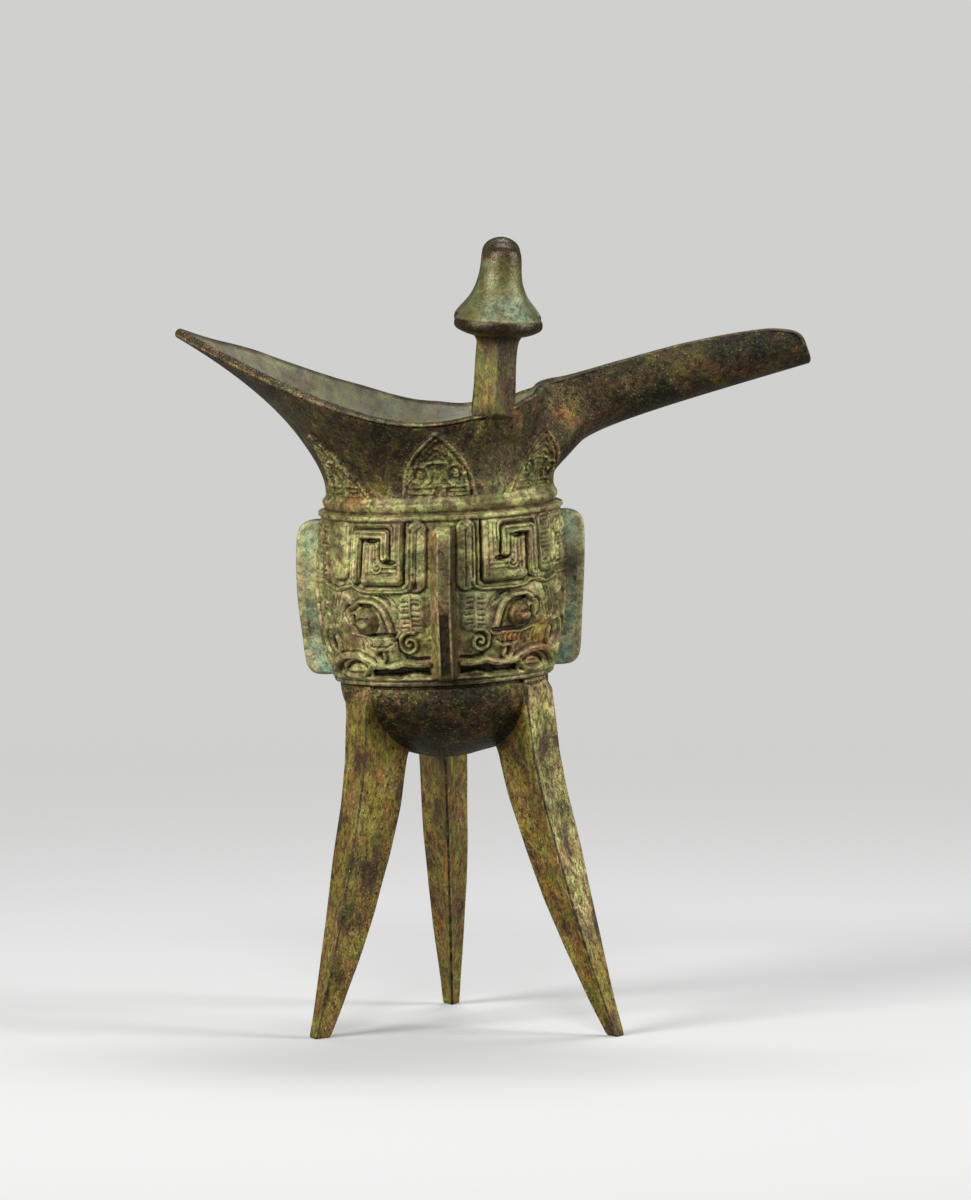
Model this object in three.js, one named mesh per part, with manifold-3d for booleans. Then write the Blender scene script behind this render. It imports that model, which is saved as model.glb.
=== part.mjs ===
// Ritual bronze libation cup of the jue type, in millimetres with +Z up.
// The cup stands on three blade legs of unequal length, so it leans a little: the spout side is high.
// Every piece is built upright in the cup's own frame, with its axis on Z, and one group leans them all.
// +X points to the spout, +Y to the handle, and the ground is the plane Z = 0 of the exported group.

import * as THREE from 'three';
import { mergeVertices } from 'three/addons/utils/BufferGeometryUtils.js';
import Module from 'manifold-3d';

const wasm = await Module();
wasm.setup();

// Clearance left between two pieces that touch.
const clearance = 0.3;

// Bowl, band and neck.
const bowlBottomHeight = 70.5;
const lowerRingHeight = 91.3;
const lowerRingRadius = 27;
const bellyHeight = 115;
const bellyRadius = 32.3;
const bandTopHeight = 135.2;
const bandTopRadius = 31;
const neckHeight = 141;
const neckRadius = 29.6;
const ringProud = 0.8;
const ringWidth = 3;
const bowlWall = 3;
const rimWall = 2.4;

// The hand-made neck stands a little nearer the spout than the belly does.
const neckShift = 1;
const neckShiftFrom = 110;
const neckShiftTo = 155;

// Lean of the whole cup on its legs, and the height on the axis about which it is measured.
const leanAngle = THREE.MathUtils.degToRad(2.5);
const leanPivotHeight = 111.5;

// Stations of the rim on the near side, from the middle of the lip to the tip of the tail:
// the angle on the neck where the station's wall line starts, the rim point, and how that line runs:
// reach is how far out it is when it turns up to the rim, drop its depth there, lift its rise off the neck.
const rimStations = [
  { angle: 0, x: 98.6, y: 0, z: 169.2, reach: 0.24, drop: 13.2, lift: 11.5 },
  { angle: 6, x: 98.7, y: 4.4, z: 169.9, reach: 0.34, drop: 12.2, lift: 11.5 },
  { angle: 11, x: 98.0, y: 7.6, z: 172.6, reach: 0.56, drop: 9.6, lift: 11.5 },
  { angle: 15, x: 96.4, y: 9.2, z: 176.8, reach: 0.8, drop: 9.6, lift: 11.5 },
  { angle: 19, x: 92.4, y: 10.0, z: 178.6, reach: 0.94, drop: 11, lift: 11.5 },
  { angle: 24, x: 84.6, y: 10.5, z: 178.9, reach: 0.98, drop: 12.5, lift: 11.5 },
  { angle: 30, x: 67.6, y: 11.0, z: 176.6, reach: 1, drop: 14, lift: 11.5 },
  { angle: 36, x: 50, y: 11.6, z: 172.7, reach: 1, drop: 15, lift: 11.5 },
  { angle: 42, x: 36.2, y: 13.0, z: 169.3, reach: 1, drop: 14, lift: 11 },
  { angle: 47, x: 30.4, y: 15.8, z: 168, reach: 0.95, drop: 13, lift: 10 },
  { angle: 52, x: 28.0, y: 20.5, z: 165.8, reach: 0.85, drop: 11, lift: 9 },
  { angle: 58, x: 23.4, y: 26.4, z: 164, reach: 0.7, drop: 9.5, lift: 8 },
  { angle: 67, x: 14.8, y: 31.8, z: 162, reach: 0.55, drop: 8.5, lift: 7 },
  { angle: 82, x: 2, y: 35.6, z: 160.1, reach: 0.42, drop: 8, lift: 6 },
  { angle: 98, x: -11, y: 35.8, z: 160.9, reach: 0.42, drop: 8, lift: 6 },
  { angle: 116, x: -26, y: 31.8, z: 165.1, reach: 0.42, drop: 9.5, lift: 8 },
  { angle: 136, x: -41, y: 23.4, z: 171.2, reach: 0.4, drop: 12, lift: 10 },
  { angle: 157, x: -54.6, y: 12.4, z: 177.6, reach: 0.38, drop: 14, lift: 11.5 },
  { angle: 180, x: -66.2, y: 0, z: 183.4, reach: 0.37, drop: 14.6, lift: 12 },
];

// The spout is a channel: X where its section starts and is whole, how square that section is, and the
// neck angles of the stations at the top of the lip and at the root.
const channelFrom = 31;
const channelTo = 46;
const channelSquareness = 2.4;
const channelLipAngle = 19;
const channelRootAngle = 52;

// The hand-made rim isn't level from front to back: the far side is high beside the tail and low
// along the spout.
const farTailLift = 2;
const farSpoutDrop = 1.4;

// Animal mask on the band, as the main plates of one half: distance from the middle line along the wall
// and height. The other half mirrors it, and the rear has the same mask, parted by the handle.
const maskRise = 1;
const maskRoot = 1.2;
const maskPlates = [
  { name: 'nose', from: 3.9, to: 7.9, bottom: 106.5, top: 134.3 },
  { name: 'lower horn', from: 10.2, to: 23.6, bottom: 119.4, top: 122 },
  { name: 'outer horn', from: 24.1, to: 26.7, bottom: 119.4, top: 133.2 },
  { name: 'upper horn', from: 15.1, to: 25.4, bottom: 130.8, top: 133.2 },
  { name: 'inner horn', from: 15.1, to: 17.6, bottom: 125.2, top: 132 },
  { name: 'horn root', from: 19.2, to: 23.2, bottom: 121, top: 129 },
  { name: 'ear', from: 28.2, to: 35.2, bottom: 119.8, top: 134.3 },
  { name: 'cheek', from: 28, to: 35.4, bottom: 106.6, top: 116.2 },
  { name: 'brow', from: 14.6, to: 27, bottom: 114, top: 115.8 },
  { name: 'lip', from: 8, to: 36, bottom: 97.6, top: 99.8 },
];
const maskEye = { across: 21.2, height: 109.7, radius: 3.9, rise: 2 };
const maskMiddles = [
  { azimuth: 271.3, clearOf: 3 },
  { azimuth: 90, clearOf: 7.5 },
];
const maskStep = 7;

// Legs: azimuth, and the azimuth that the flat outer face looks to.
const legs = [
  { name: 'front_tail', azimuth: 213.6, facing: 204 },
  { name: 'front_spout', azimuth: 333.6, facing: 328 },
  { name: 'rear', azimuth: 92.9, facing: 92.9 },
];
// Leg sections from the foot up: height, distance of the outer face from the axis, half the face's
// width, and depth from the face in to the ridge.
const legSections = [
  { z: -4, face: 47.3, half: 2.0, depth: 3.8 },
  { z: 7, face: 44.0, half: 2.9, depth: 6.4 },
  { z: 20, face: 40.5, half: 4.2, depth: 9.2 },
  { z: 33, face: 37.4, half: 5.3, depth: 11.7 },
  { z: 46, face: 34.4, half: 6.0, depth: 13.6 },
  { z: 60, face: 31.1, half: 6.4, depth: 14.6 },
  { z: 72, face: 28.9, half: 6.6, depth: 15.1 },
  { z: 89, face: 27.4, half: 6.6, depth: 15.2 },
];
const legWall = 1.8;
const legCoreBottom = 34;
const legStubLength = 3;
const legEdge = 0.12;

// Flanges: azimuth of each, and the common outline.
const flanges = [
  { name: 'tail', azimuth: 180 },
  { name: 'front', azimuth: 271.3 },
  { name: 'spout', azimuth: 0 },
];
const flangeThickness = 3.6;
const flangeBottomHeight = 93.6;
const flangeTopHeight = 134;
const flangeBottomRadius = 36;
const flangeTopRadius = 37.5;
const flangeCorner = 3;
const tongueThickness = 1.8;
const tongueDepth = 1.5;

// Posts: where the stem's middle line crosses the rim, its lean to the spout, and its square section.
const postX = 15.4;
const postY = 28.2;
const postBottomHeight = 157;
const postLean = THREE.MathUtils.degToRad(5.6);
const postTurn = THREE.MathUtils.degToRad(41);
const postFootSide = 8.4;
const postHeadSide = 7.8;
const postCorner = 1.4;
const tenonRadius = 2.4;
const tenonLength = 6;
const postShoulderHeight = 181;
const farPostDrop = 2.4;

// Cap: radius at heights above its underside.
const capProfile = [
  { z: 0, r: 5.2 },
  { z: 2.3, r: 10.9 },
  { z: 3.4, r: 11.5 },
  { z: 5.4, r: 11.4 },
  { z: 7, r: 9.7 },
  { z: 9.1, r: 7.8 },
  { z: 11, r: 6.8 },
  { z: 14.2, r: 5.9 },
  { z: 18.4, r: 5.4 },
  { z: 21.4, r: 5.2 },
  { z: 23.4, r: 4.0 },
  { z: 24.4, r: 2.1 },
];
const capHeight = 24.8;
const capCoreBottom = 7;
const capCoreTop = 19;
const capCoreRadius = 3.6;

// Handle: middle line in the plane of the rear, as distance from the axis and height.
const handlePath = [
  { r: 29, z: 129.6 },
  { r: 38, z: 132.2 },
  { r: 48, z: 129.6 },
  { r: 53.6, z: 121 },
  { r: 53.2, z: 110 },
  { r: 47, z: 101 },
  { r: 38, z: 97.4 },
  { r: 27, z: 97.2 },
];
const handleWidth = 11;
const handleThickness = 4.6;
const handleSteps = 22;
const handleCoreWidth = 5;
const handleCoreDepth = 2;
const handlePegWidth = 6;
const handlePegHeight = 2.6;
const handlePegDepth = 1.6;
const headRadius = 41;
const headPegRadius = 1.4;
const headPegLength = 3;

// Chaplets: square bronze spacers in the bottom of the bowl, one in the middle and three round it.
const chapletSide = 4;
const chapletRing = 12;
const chapletAzimuths = [33.6, 153.6, 273.6];

// Resolution of the faceted solids.
const stationsBetween = 2;
const lowerRows = 18;
const upperRows = 8;
const innerUpperRows = 6;
const roundSides = 32;

const bronze = { color: 0x7a6534, roughness: 0.5, metalness: 0.8 };
const darkBronze = { color: 0x5c4a2c, roughness: 0.5, metalness: 0.8 };
const paleBronze = { color: 0x6f8270, roughness: 0.6, metalness: 0.6 };
const firedClay = { color: 0x6e5646, roughness: 0.95, metalness: 0 };

// Small helpers.

const radians = THREE.MathUtils.degToRad;
const blend = THREE.MathUtils.lerp;

function around(azimuth, radius, height) {
  return new THREE.Vector3(radius * Math.cos(azimuth), radius * Math.sin(azimuth), height);
}

function smooth(value, from, to) {
  return THREE.MathUtils.smoothstep(value, from, to);
}

// Catmull-Rom value through b and c at the fraction t between them.
function through(a, b, c, d, t) {
  const slopeB = (c - a) / 2;
  const slopeC = (d - b) / 2;
  const cubic = 2 * (b - c) + slopeB + slopeC;
  const square = 3 * (c - b) - 2 * slopeB - slopeC;
  return ((cubic * t + square) * t + slopeB) * t + b;
}

// Value of a list of stations at a height, with the heights rising.
function atHeight(list, key, height) {
  let last = 1;
  while (last < list.length - 1 && list[last].z < height) {
    last += 1;
  }
  const low = list[last - 1];
  const high = list[last];
  return blend(low[key], high[key], (height - low.z) / (high.z - low.z));
}

function geometryOfTriangles(points, triangles) {
  const geometry = new THREE.BufferGeometry();
  const positions = points.flatMap((point) => [point.x, point.y, point.z]);
  geometry.setAttribute('position', new THREE.Float32BufferAttribute(positions, 3));
  geometry.setIndex(triangles);
  return geometry;
}

// Closed body from rings of equal count; both ends are closed by a fan to their middle point.
function ringBody(rings) {
  const count = rings[0].length;
  const points = rings.flat();
  const triangles = [];
  for (let row = 0; row + 1 < rings.length; row += 1) {
    for (let i = 0; i < count; i += 1) {
      const next = (i + 1) % count;
      const a = row * count + i;
      const b = row * count + next;
      triangles.push(a, b, a + count, b, b + count, a + count);
    }
  }
  const middleOf = (ring) => ring.reduce((sum, point) => sum.add(point), new THREE.Vector3())
    .divideScalar(count);
  const firstMiddle = points.length;
  const lastMiddle = firstMiddle + 1;
  points.push(middleOf(rings[0]), middleOf(rings[rings.length - 1]));
  const lastRow = (rings.length - 1) * count;
  for (let i = 0; i < count; i += 1) {
    const next = (i + 1) % count;
    triangles.push(firstMiddle, next, i);
    triangles.push(lastMiddle, lastRow + i, lastRow + next);
  }
  return geometryOfTriangles(points, triangles);
}

// Solid for cutting and joining, from any closed three.js geometry.
function solidOf(geometry) {
  const bare = geometry.clone();
  bare.deleteAttribute('normal');
  bare.deleteAttribute('uv');
  const merged = mergeVertices(bare, 1e-4);
  const mesh = new wasm.Mesh({
    numProp: 3,
    vertProperties: Float32Array.from(merged.attributes.position.array),
    triVerts: Uint32Array.from(merged.index.array),
  });
  return new wasm.Manifold(mesh);
}

function geometryOf(solid) {
  const mesh = solid.getMesh();
  const geometry = new THREE.BufferGeometry();
  geometry.setAttribute('position', new THREE.BufferAttribute(mesh.vertProperties, 3));
  geometry.setIndex(new THREE.BufferAttribute(mesh.triVerts, 1));
  return geometry;
}

function boxSolid(width, depth, height, matrix) {
  return solidOf(new THREE.BoxGeometry(width, depth, height).applyMatrix4(matrix));
}

// Matrix that puts a shape's own X, Y and Z along three directions at a place.
function frameAt(xAxis, yAxis, zAxis, place) {
  return new THREE.Matrix4().makeBasis(xAxis, yAxis, zAxis).setPosition(place);
}

// Cup wall.

// Radius of the outer wall below the neck.
function wallRadius(height) {
  const bellyRise = bellyRadius - lowerRingRadius;
  const bellyFall = bellyRadius - bandTopRadius;
  if (height < lowerRingHeight) {
    const share = (height - bowlBottomHeight) / (lowerRingHeight - bowlBottomHeight);
    const turn = Math.acos(1 - Math.max(share, 0));
    return lowerRingRadius * Math.sin(turn) ** 1.15;
  }
  if (height < bellyHeight) {
    const share = (bellyHeight - height) / (bellyHeight - lowerRingHeight);
    return bellyRadius - bellyRise * share * share;
  }
  if (height < bandTopHeight) {
    const share = (height - bellyHeight) / (bandTopHeight - bellyHeight);
    return bellyRadius - bellyFall * share * share;
  }
  return blend(bandTopRadius, neckRadius, smooth(height, bandTopHeight, neckHeight));
}

// Raised ring on the wall at a height.
function ringAt(height, ringHeight) {
  const off = Math.abs(height - ringHeight) / (ringWidth / 2);
  return off < 1 ? ringProud * (1 - off * off) : 0;
}

function outerRadius(height) {
  return wallRadius(height) + ringAt(height, lowerRingHeight) + ringAt(height, bandTopHeight);
}

// Heights of the outer wall from the bottom of the bowl to the neck.
function lowerHeights() {
  const heights = [];
  const bowlRows = Math.round(lowerRows / 3);
  for (let i = 1; i < bowlRows; i += 1) {
    const turn = (Math.PI / 2) * (i / bowlRows);
    heights.push(bowlBottomHeight + (lowerRingHeight - bowlBottomHeight) * (1 - Math.cos(turn)));
  }
  const half = ringWidth / 2;
  heights.push(lowerRingHeight - half, lowerRingHeight, lowerRingHeight + half);
  const bandRows = lowerRows - bowlRows - 4;
  const bandFrom = lowerRingHeight + half;
  const bandTo = bandTopHeight - half;
  for (let i = 1; i <= bandRows; i += 1) {
    heights.push(blend(bandFrom, bandTo, i / bandRows));
  }
  heights.push(bandTopHeight, bandTopHeight + half, neckHeight);
  return heights.filter((height, i) => i === 0 || height > heights[i - 1] + 0.2);
}

// Rim station at a place along the rim: 0 at the lip's middle, 1 per station, minus on the far side.
function stationAt(place) {
  const side = place < 0 ? -1 : 1;
  const along = Math.abs(place);
  const last = rimStations.length - 1;
  const from = Math.min(Math.floor(along), last - 1);
  const t = along - from;
  const row = (index, key) => {
    const mirrored = index < 0 || index > last;
    const station = rimStations[index < 0 ? -index : index > last ? 2 * last - index : index];
    if (key === 'y' && mirrored) {
      return -station.y;
    }
    if (key === 'angle' && mirrored) {
      return index < 0 ? -station.angle : 360 - station.angle;
    }
    return station[key];
  };
  const value = (key) => through(row(from - 1, key), row(from, key), row(from + 1, key),
    row(from + 2, key), t);
  const station = { angle: radians(value('angle')), x: value('x'), y: value('y'), z: value('z') };
  station.reach = value('reach');
  station.drop = value('drop');
  station.lift = value('lift');
  if (side < 0) {
    const besideTail = smooth(station.x, rimStations[last].x, -46) * (1 - smooth(station.x, -22, 4));
    const alongSpout = smooth(station.x, 0, 10) * smooth(station.y, 0, 9);
    station.z += farTailLift * besideTail - farSpoutDrop * alongSpout;
  }
  // The near side is the one with negative Y.
  station.y *= -side;
  station.angle *= -side;
  return station;
}

// Wall line that rises from the neck to a place on the rim.
function wallLine(place) {
  const station = stationAt(place);
  const start = around(station.angle, neckRadius, neckHeight);
  const rim = new THREE.Vector3(station.x, station.y, station.z);
  const rise = start.clone().setZ(neckHeight + station.lift);
  const turn = new THREE.Vector3(
    blend(start.x, rim.x, station.reach),
    blend(start.y, rim.y, station.reach),
    rim.z - station.drop,
  );
  return new THREE.CubicBezierCurve3(start, rise, turn, rim);
}

// Value of a row of points at an X, with X rising along the row.
function atX(points, key, x) {
  let last = 1;
  while (last < points.length - 1 && points[last].x < x) {
    last += 1;
  }
  const low = points[last - 1];
  const high = points[last];
  const share = THREE.MathUtils.clamp((x - low.x) / (high.x - low.x), 0, 1);
  return blend(low[key], high[key], share);
}

// Lowest line under the spout, and the spout's two upper edges from its root to the top of the lip.
const lipTopStation = rimStations.findIndex((station) => station.angle >= channelLipAngle);
const rootStation = rimStations.findIndex((station) => station.angle >= channelRootAngle);
const spoutUnderside = wallLine(0).getPoints(60);

function spoutEdge(side) {
  const points = [];
  for (let place = rootStation; place >= lipTopStation; place -= 0.25) {
    const station = stationAt(side * place);
    points.push(new THREE.Vector3(station.x, Math.abs(station.y), station.z));
  }
  return points;
}

const spoutEdges = { near: spoutEdge(1), far: spoutEdge(-1) };

// Draws a point of the spout out to the channel's cross-section, a squared half round under its edges.
function ontoChannel(point) {
  const share = smooth(point.x, channelFrom, channelTo);
  if (share === 0) {
    return point;
  }
  const edge = point.y < 0 ? spoutEdges.near : spoutEdges.far;
  const top = atX(edge, 'z', point.x);
  const half = atX(edge, 'y', point.x);
  const depth = top - atX(spoutUnderside, 'z', point.x);
  const size = (Math.abs(point.y / half) ** channelSquareness
    + Math.abs((top - point.z) / depth) ** channelSquareness) ** (1 / channelSquareness);
  const drawn = new THREE.Vector3(point.x, point.y / size, top - (top - point.z) / size);
  return point.lerp(drawn, share);
}

// Point of the outer wall above the neck: level 0 on the neck, 1 on the rim.
function upperPoint(place, level) {
  const point = wallLine(place).getPoint(level);
  return level < 1 ? ontoChannel(point) : point;
}

// Normal of the upper wall, pointing out.
function upperNormal(place, level) {
  const step = 0.01;
  const top = Math.min(level + step, 1);
  const last = rimStations.length - 1;
  const wrap = (value) => (value > last ? value - 2 * last : value < -last ? value + 2 * last : value);
  const along = upperPoint(wrap(place - step), level).sub(upperPoint(wrap(place + step), level));
  const up = upperPoint(place, top).sub(upperPoint(place, level - step));
  if (level < step) {
    up.set(0, 0, 1);
  }
  return along.cross(up).normalize();
}

// Places along the rim for the columns of the solid, counter-clockwise from the tail tip.
function rimPlaces() {
  const last = rimStations.length - 1;
  const places = [];
  for (let i = 0; i < 2 * last * stationsBetween; i += 1) {
    places.push(last - i / stationsBetween);
  }
  return places;
}

// Ring of the wall below the neck, at a distance inside (minus) or outside the outer face.
function lowerRing(height, outward) {
  const step = 0.5;
  const slope = (wallRadius(height + step) - wallRadius(height - step)) / (2 * step);
  const length = Math.hypot(1, slope);
  const base = outward < 0 ? wallRadius(height) : outerRadius(height);
  const radius = base + outward / length;
  const z = height - (outward * slope) / length;
  return rimPlaces().map((place) => around(stationAt(place).angle, Math.max(radius, 0.5), z));
}

function upperRing(level, outward) {
  return rimPlaces().map((place) => upperPoint(place, level)
    .addScaledVector(upperNormal(place, level), outward));
}

// Rings of the outer face from the bottom of the bowl to the rim, moved out and up by grow.
function outerRings(grow) {
  const rings = lowerHeights().map((height) => lowerRing(height, grow));
  for (let i = 1; i <= upperRows; i += 1) {
    rings.push(upperRing(i / upperRows, grow));
  }
  rings[rings.length - 1].forEach((point) => point.setZ(point.z + grow));
  return rings;
}

// The cup as if it were filled to the rim, larger by grow, for pieces that stand outside it.
function filledCup(grow) {
  const geometry = ringBody(outerRings(grow));
  const positions = geometry.attributes.position;
  positions.setXYZ(positions.count - 2, 0, 0, bowlBottomHeight - grow);
  return solidOf(geometry);
}

// The cup's wall, made thicker on both faces and at the rim by grow.
function cupShell(grow) {
  const rings = outerRings(grow);
  const lift = (ring) => ring.map((point) => point.clone().setZ(point.z + grow));
  for (let i = innerUpperRows; i >= 1; i -= 1) {
    const level = i / innerUpperRows;
    const ring = upperRing(level, -blend(bowlWall, rimWall, level) - grow);
    rings.push(i === innerUpperRows ? lift(ring) : ring);
  }
  const inner = lowerHeights().filter((height, i) => i % 2 === 0 && height > bowlBottomHeight + 1);
  inner.reverse().forEach((height) => rings.push(lowerRing(height, -bowlWall - grow)));
  const geometry = ringBody(rings);
  const positions = geometry.attributes.position;
  const outerPole = positions.count - 2;
  positions.setXYZ(outerPole, 0, 0, bowlBottomHeight - grow);
  positions.setXYZ(outerPole + 1, 0, 0, bowlBottomHeight + bowlWall + grow);
  return solidOf(geometry);
}

// The space inside the bowl and the neck.
function bowlSpace() {
  const geometry = ringBody(lowerHeights().map((height) => lowerRing(height, -bowlWall)));
  const positions = geometry.attributes.position;
  positions.setXYZ(positions.count - 2, 0, 0, bowlBottomHeight + bowlWall);
  return solidOf(geometry);
}

// Plate that follows the wall of the band, from a root inside the wall to its rise over it.
function wallPlate(middle, side, plate) {
  const angleAt = (across) => radians(middle) + (side * across) / bellyRadius;
  const columns = Math.ceil((plate.to - plate.from) / maskStep);
  const rows = Math.ceil((plate.top - plate.bottom) / maskStep);
  const heights = Array.from({ length: rows + 1 }, (unused, i) => blend(plate.bottom, plate.top, i / rows));
  const rings = Array.from({ length: columns + 1 }, (unused, i) => {
    const angle = angleAt(blend(plate.from, plate.to, i / columns));
    const face = heights.map((height) => around(angle, wallRadius(height) + maskRise, height));
    const root = heights.map((height) => around(angle, wallRadius(height) - maskRoot, height));
    return [...face, ...root.reverse()];
  });
  return solidOf(ringBody(side < 0 ? rings : rings.reverse()));
}

// Eyeball of the mask.
function eyeball(middle, side) {
  const angle = radians(middle) + (side * maskEye.across) / bellyRadius;
  const place = around(angle, wallRadius(maskEye.height), maskEye.height);
  return solidOf(new THREE.SphereGeometry(1, 10, 6)
    .scale(maskEye.rise, maskEye.radius, maskEye.radius)
    .rotateZ(angle)
    .translate(place.x, place.y, place.z));
}

// The masks on both sides, as one solid to join to the cup.
function masks() {
  const parts = maskMiddles.flatMap(({ azimuth, clearOf }) => [-1, 1].flatMap((side) => [
    ...maskPlates.filter((plate) => plate.from > clearOf).map((plate) => wallPlate(azimuth, side, plate)),
    eyeball(azimuth, side),
  ]));
  return wasm.Manifold.union(parts);
}

// Legs.

// Ring of a leg section: a triangle with its three edges taken off, drawn in by inset.
function legRing(leg, height, inset) {
  const azimuth = radians(leg.azimuth);
  const facing = radians(leg.facing);
  const face = atHeight(legSections, 'face', height);
  const half = atHeight(legSections, 'half', height);
  const depth = atHeight(legSections, 'depth', height);
  const out = new THREE.Vector3(Math.cos(facing), Math.sin(facing), 0);
  const across = new THREE.Vector3(-Math.sin(facing), Math.cos(facing), 0);
  const middle = around(azimuth, face, height);
  const corners = [
    middle.clone().addScaledVector(across, -half),
    middle.clone().addScaledVector(across, half),
    middle.clone().addScaledVector(out, -depth),
  ];
  const side = Math.hypot(half, depth);
  const inradius = (half * depth) / (half + side);
  const centre = middle.clone().addScaledVector(out, -inradius);
  const scale = 1 - inset / inradius;
  const ring = [];
  corners.forEach((corner, i) => {
    const before = corners[(i + 2) % 3];
    const after = corners[(i + 1) % 3];
    ring.push(corner.clone().lerp(before, legEdge), corner.clone().lerp(after, legEdge));
  });
  return ring.map((point) => centre.clone().lerp(point, scale));
}

function legBody(leg, from, to, inset) {
  const heights = legSections.map((section) => section.z).filter((z) => z > from && z < to);
  return solidOf(ringBody([from, ...heights, to].map((height) => legRing(leg, height, inset))));
}

// Everything below the ground, seen from the leaning cup.
function ground() {
  const size = 400;
  const undo = new THREE.Matrix4().makeTranslation(0, 0, leanPivotHeight)
    .multiply(new THREE.Matrix4().makeRotationY(leanAngle))
    .multiply(new THREE.Matrix4().makeTranslation(0, 0, -leanPivotHeight))
    .multiply(new THREE.Matrix4().makeTranslation(0, 0, -size / 2));
  return boxSolid(size, size, size, undo);
}

// Flanges.

// Plate in the plane of an azimuth, from an outline of radius and height.
function uprightPlate(shape, thickness, azimuth) {
  const geometry = new THREE.ExtrudeGeometry(shape, { depth: thickness, bevelEnabled: false,
    curveSegments: 4 });
  geometry.translate(0, 0, -thickness / 2);
  const out = around(azimuth, 1, 0);
  const up = new THREE.Vector3(0, 0, 1);
  const across = out.clone().cross(up);
  return solidOf(geometry.applyMatrix4(frameAt(out, up, across, new THREE.Vector3())));
}

function flangeShape() {
  const shape = new THREE.Shape();
  const inner = bellyRadius / 2;
  shape.moveTo(inner, flangeBottomHeight);
  shape.lineTo(flangeBottomRadius - flangeCorner, flangeBottomHeight);
  shape.quadraticCurveTo(flangeBottomRadius, flangeBottomHeight,
    flangeBottomRadius, flangeBottomHeight + flangeCorner);
  shape.lineTo(flangeTopRadius, flangeTopHeight - 2 * flangeCorner);
  shape.quadraticCurveTo(flangeTopRadius, flangeTopHeight,
    flangeTopRadius - 2 * flangeCorner, flangeTopHeight);
  shape.lineTo(inner, flangeTopHeight);
  return shape;
}

// Tongue that follows the wall, from outside it to the given depth in it.
function tongue(azimuth, grow) {
  const rows = 8;
  const from = flangeBottomHeight + flangeCorner - grow;
  const to = flangeTopHeight - flangeCorner + grow;
  const heights = Array.from({ length: rows + 1 }, (unused, i) => blend(from, to, i / rows));
  const shape = new THREE.Shape();
  const deep = heights.map((z) => new THREE.Vector2(wallRadius(z) - tongueDepth - grow, z));
  const proud = heights.map((z) => new THREE.Vector2(wallRadius(z) + tongueDepth, z)).reverse();
  shape.setFromPoints([...deep, ...proud].reverse());
  return uprightPlate(shape, tongueThickness + 2 * grow, azimuth);
}

// Posts and caps.

// Frame of a post: its Z runs up the leaning stem, and its origin is on the stem at the rim.
function postFrame(side) {
  const up = new THREE.Vector3(Math.sin(postLean), 0, Math.cos(postLean));
  const turn = side * postTurn;
  const level = new THREE.Vector3(Math.cos(turn), Math.sin(turn), 0);
  const across = up.clone().cross(level).normalize();
  const facing = across.clone().cross(up).normalize();
  return frameAt(facing, across, up, new THREE.Vector3(postX, side * postY, postBottomHeight));
}

function stemRing(side, height) {
  const half = side / 2;
  const short = half - postCorner;
  const corners = [[half, -short], [half, short], [short, half], [-short, half], [-half, short],
    [-half, -short], [-short, -half], [short, -half]];
  return corners.map(([x, y]) => new THREE.Vector3(x, y, height));
}

function postSolid(side, drop) {
  const height = postShoulderHeight - postBottomHeight - drop;
  const stem = ringBody([stemRing(postFootSide, 0), stemRing(postHeadSide, height)]);
  const tenon = new THREE.CylinderGeometry(tenonRadius, tenonRadius, tenonLength + 2, 16)
    .rotateX(Math.PI / 2)
    .translate(0, 0, height + tenonLength / 2 - 1);
  return solidOf(stem.applyMatrix4(postFrame(side)))
    .add(solidOf(tenon.applyMatrix4(postFrame(side))))
    .subtract(shellGrown);
}

// Body turned about Z from radius and height pairs, closed on the axis.
function turned(profile, sides) {
  const points = profile.map(({ r, z }) => new THREE.Vector2(r, z));
  return new THREE.LatheGeometry(points, sides).rotateX(Math.PI / 2);
}

function capFrame(side, drop) {
  const height = postShoulderHeight - postBottomHeight - drop + clearance;
  return postFrame(side).multiply(new THREE.Matrix4().makeTranslation(0, 0, height));
}

function capSolid(side, drop) {
  const outline = [{ z: 0, r: 0 }, ...capProfile, { z: capHeight, r: 0 }];
  const socket = [
    { z: -1, r: 0 },
    { z: -1, r: tenonRadius + clearance },
    { z: capCoreBottom - clearance, r: tenonRadius + clearance },
    { z: capCoreBottom - clearance, r: capCoreRadius + clearance },
    { z: capCoreTop + clearance, r: capCoreRadius + clearance },
    { z: capCoreTop + clearance, r: 0 },
  ];
  const frame = capFrame(side, drop);
  return solidOf(turned(outline, roundSides).applyMatrix4(frame))
    .subtract(solidOf(turned(socket, 16).applyMatrix4(frame)));
}

function capCore(side, drop) {
  const outline = [
    { z: capCoreBottom, r: 0 },
    { z: capCoreBottom, r: capCoreRadius },
    { z: capCoreTop, r: capCoreRadius },
    { z: capCoreTop, r: 0 },
  ];
  return solidOf(turned(outline, 16).applyMatrix4(capFrame(side, drop)));
}

// Handle.

const handleCurve = new THREE.CatmullRomCurve3(
  handlePath.map(({ r, z }) => new THREE.Vector3(0, r, z)),
);

// Strap along the handle's middle line: its width, and how far it lies outside and inside that line.
function strap(width, outside, inside, from, to) {
  const rings = [];
  const half = width / 2;
  const edge = Math.min(1, half / 3);
  const across = new THREE.Vector3(1, 0, 0);
  for (let i = 0; i <= handleSteps; i += 1) {
    const t = blend(from, to, i / handleSteps);
    const middle = handleCurve.getPointAt(t);
    const out = handleCurve.getTangentAt(t).cross(across).negate();
    const corners = [[-half, -inside], [half, -inside], [half, outside - edge],
      [half - edge, outside], [-half + edge, outside], [-half, outside - edge]];
    rings.push(corners.map(([x, y]) => middle.clone().addScaledVector(across, x)
      .addScaledVector(out, y)));
  }
  return solidOf(ringBody(rings.reverse()));
}

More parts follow.
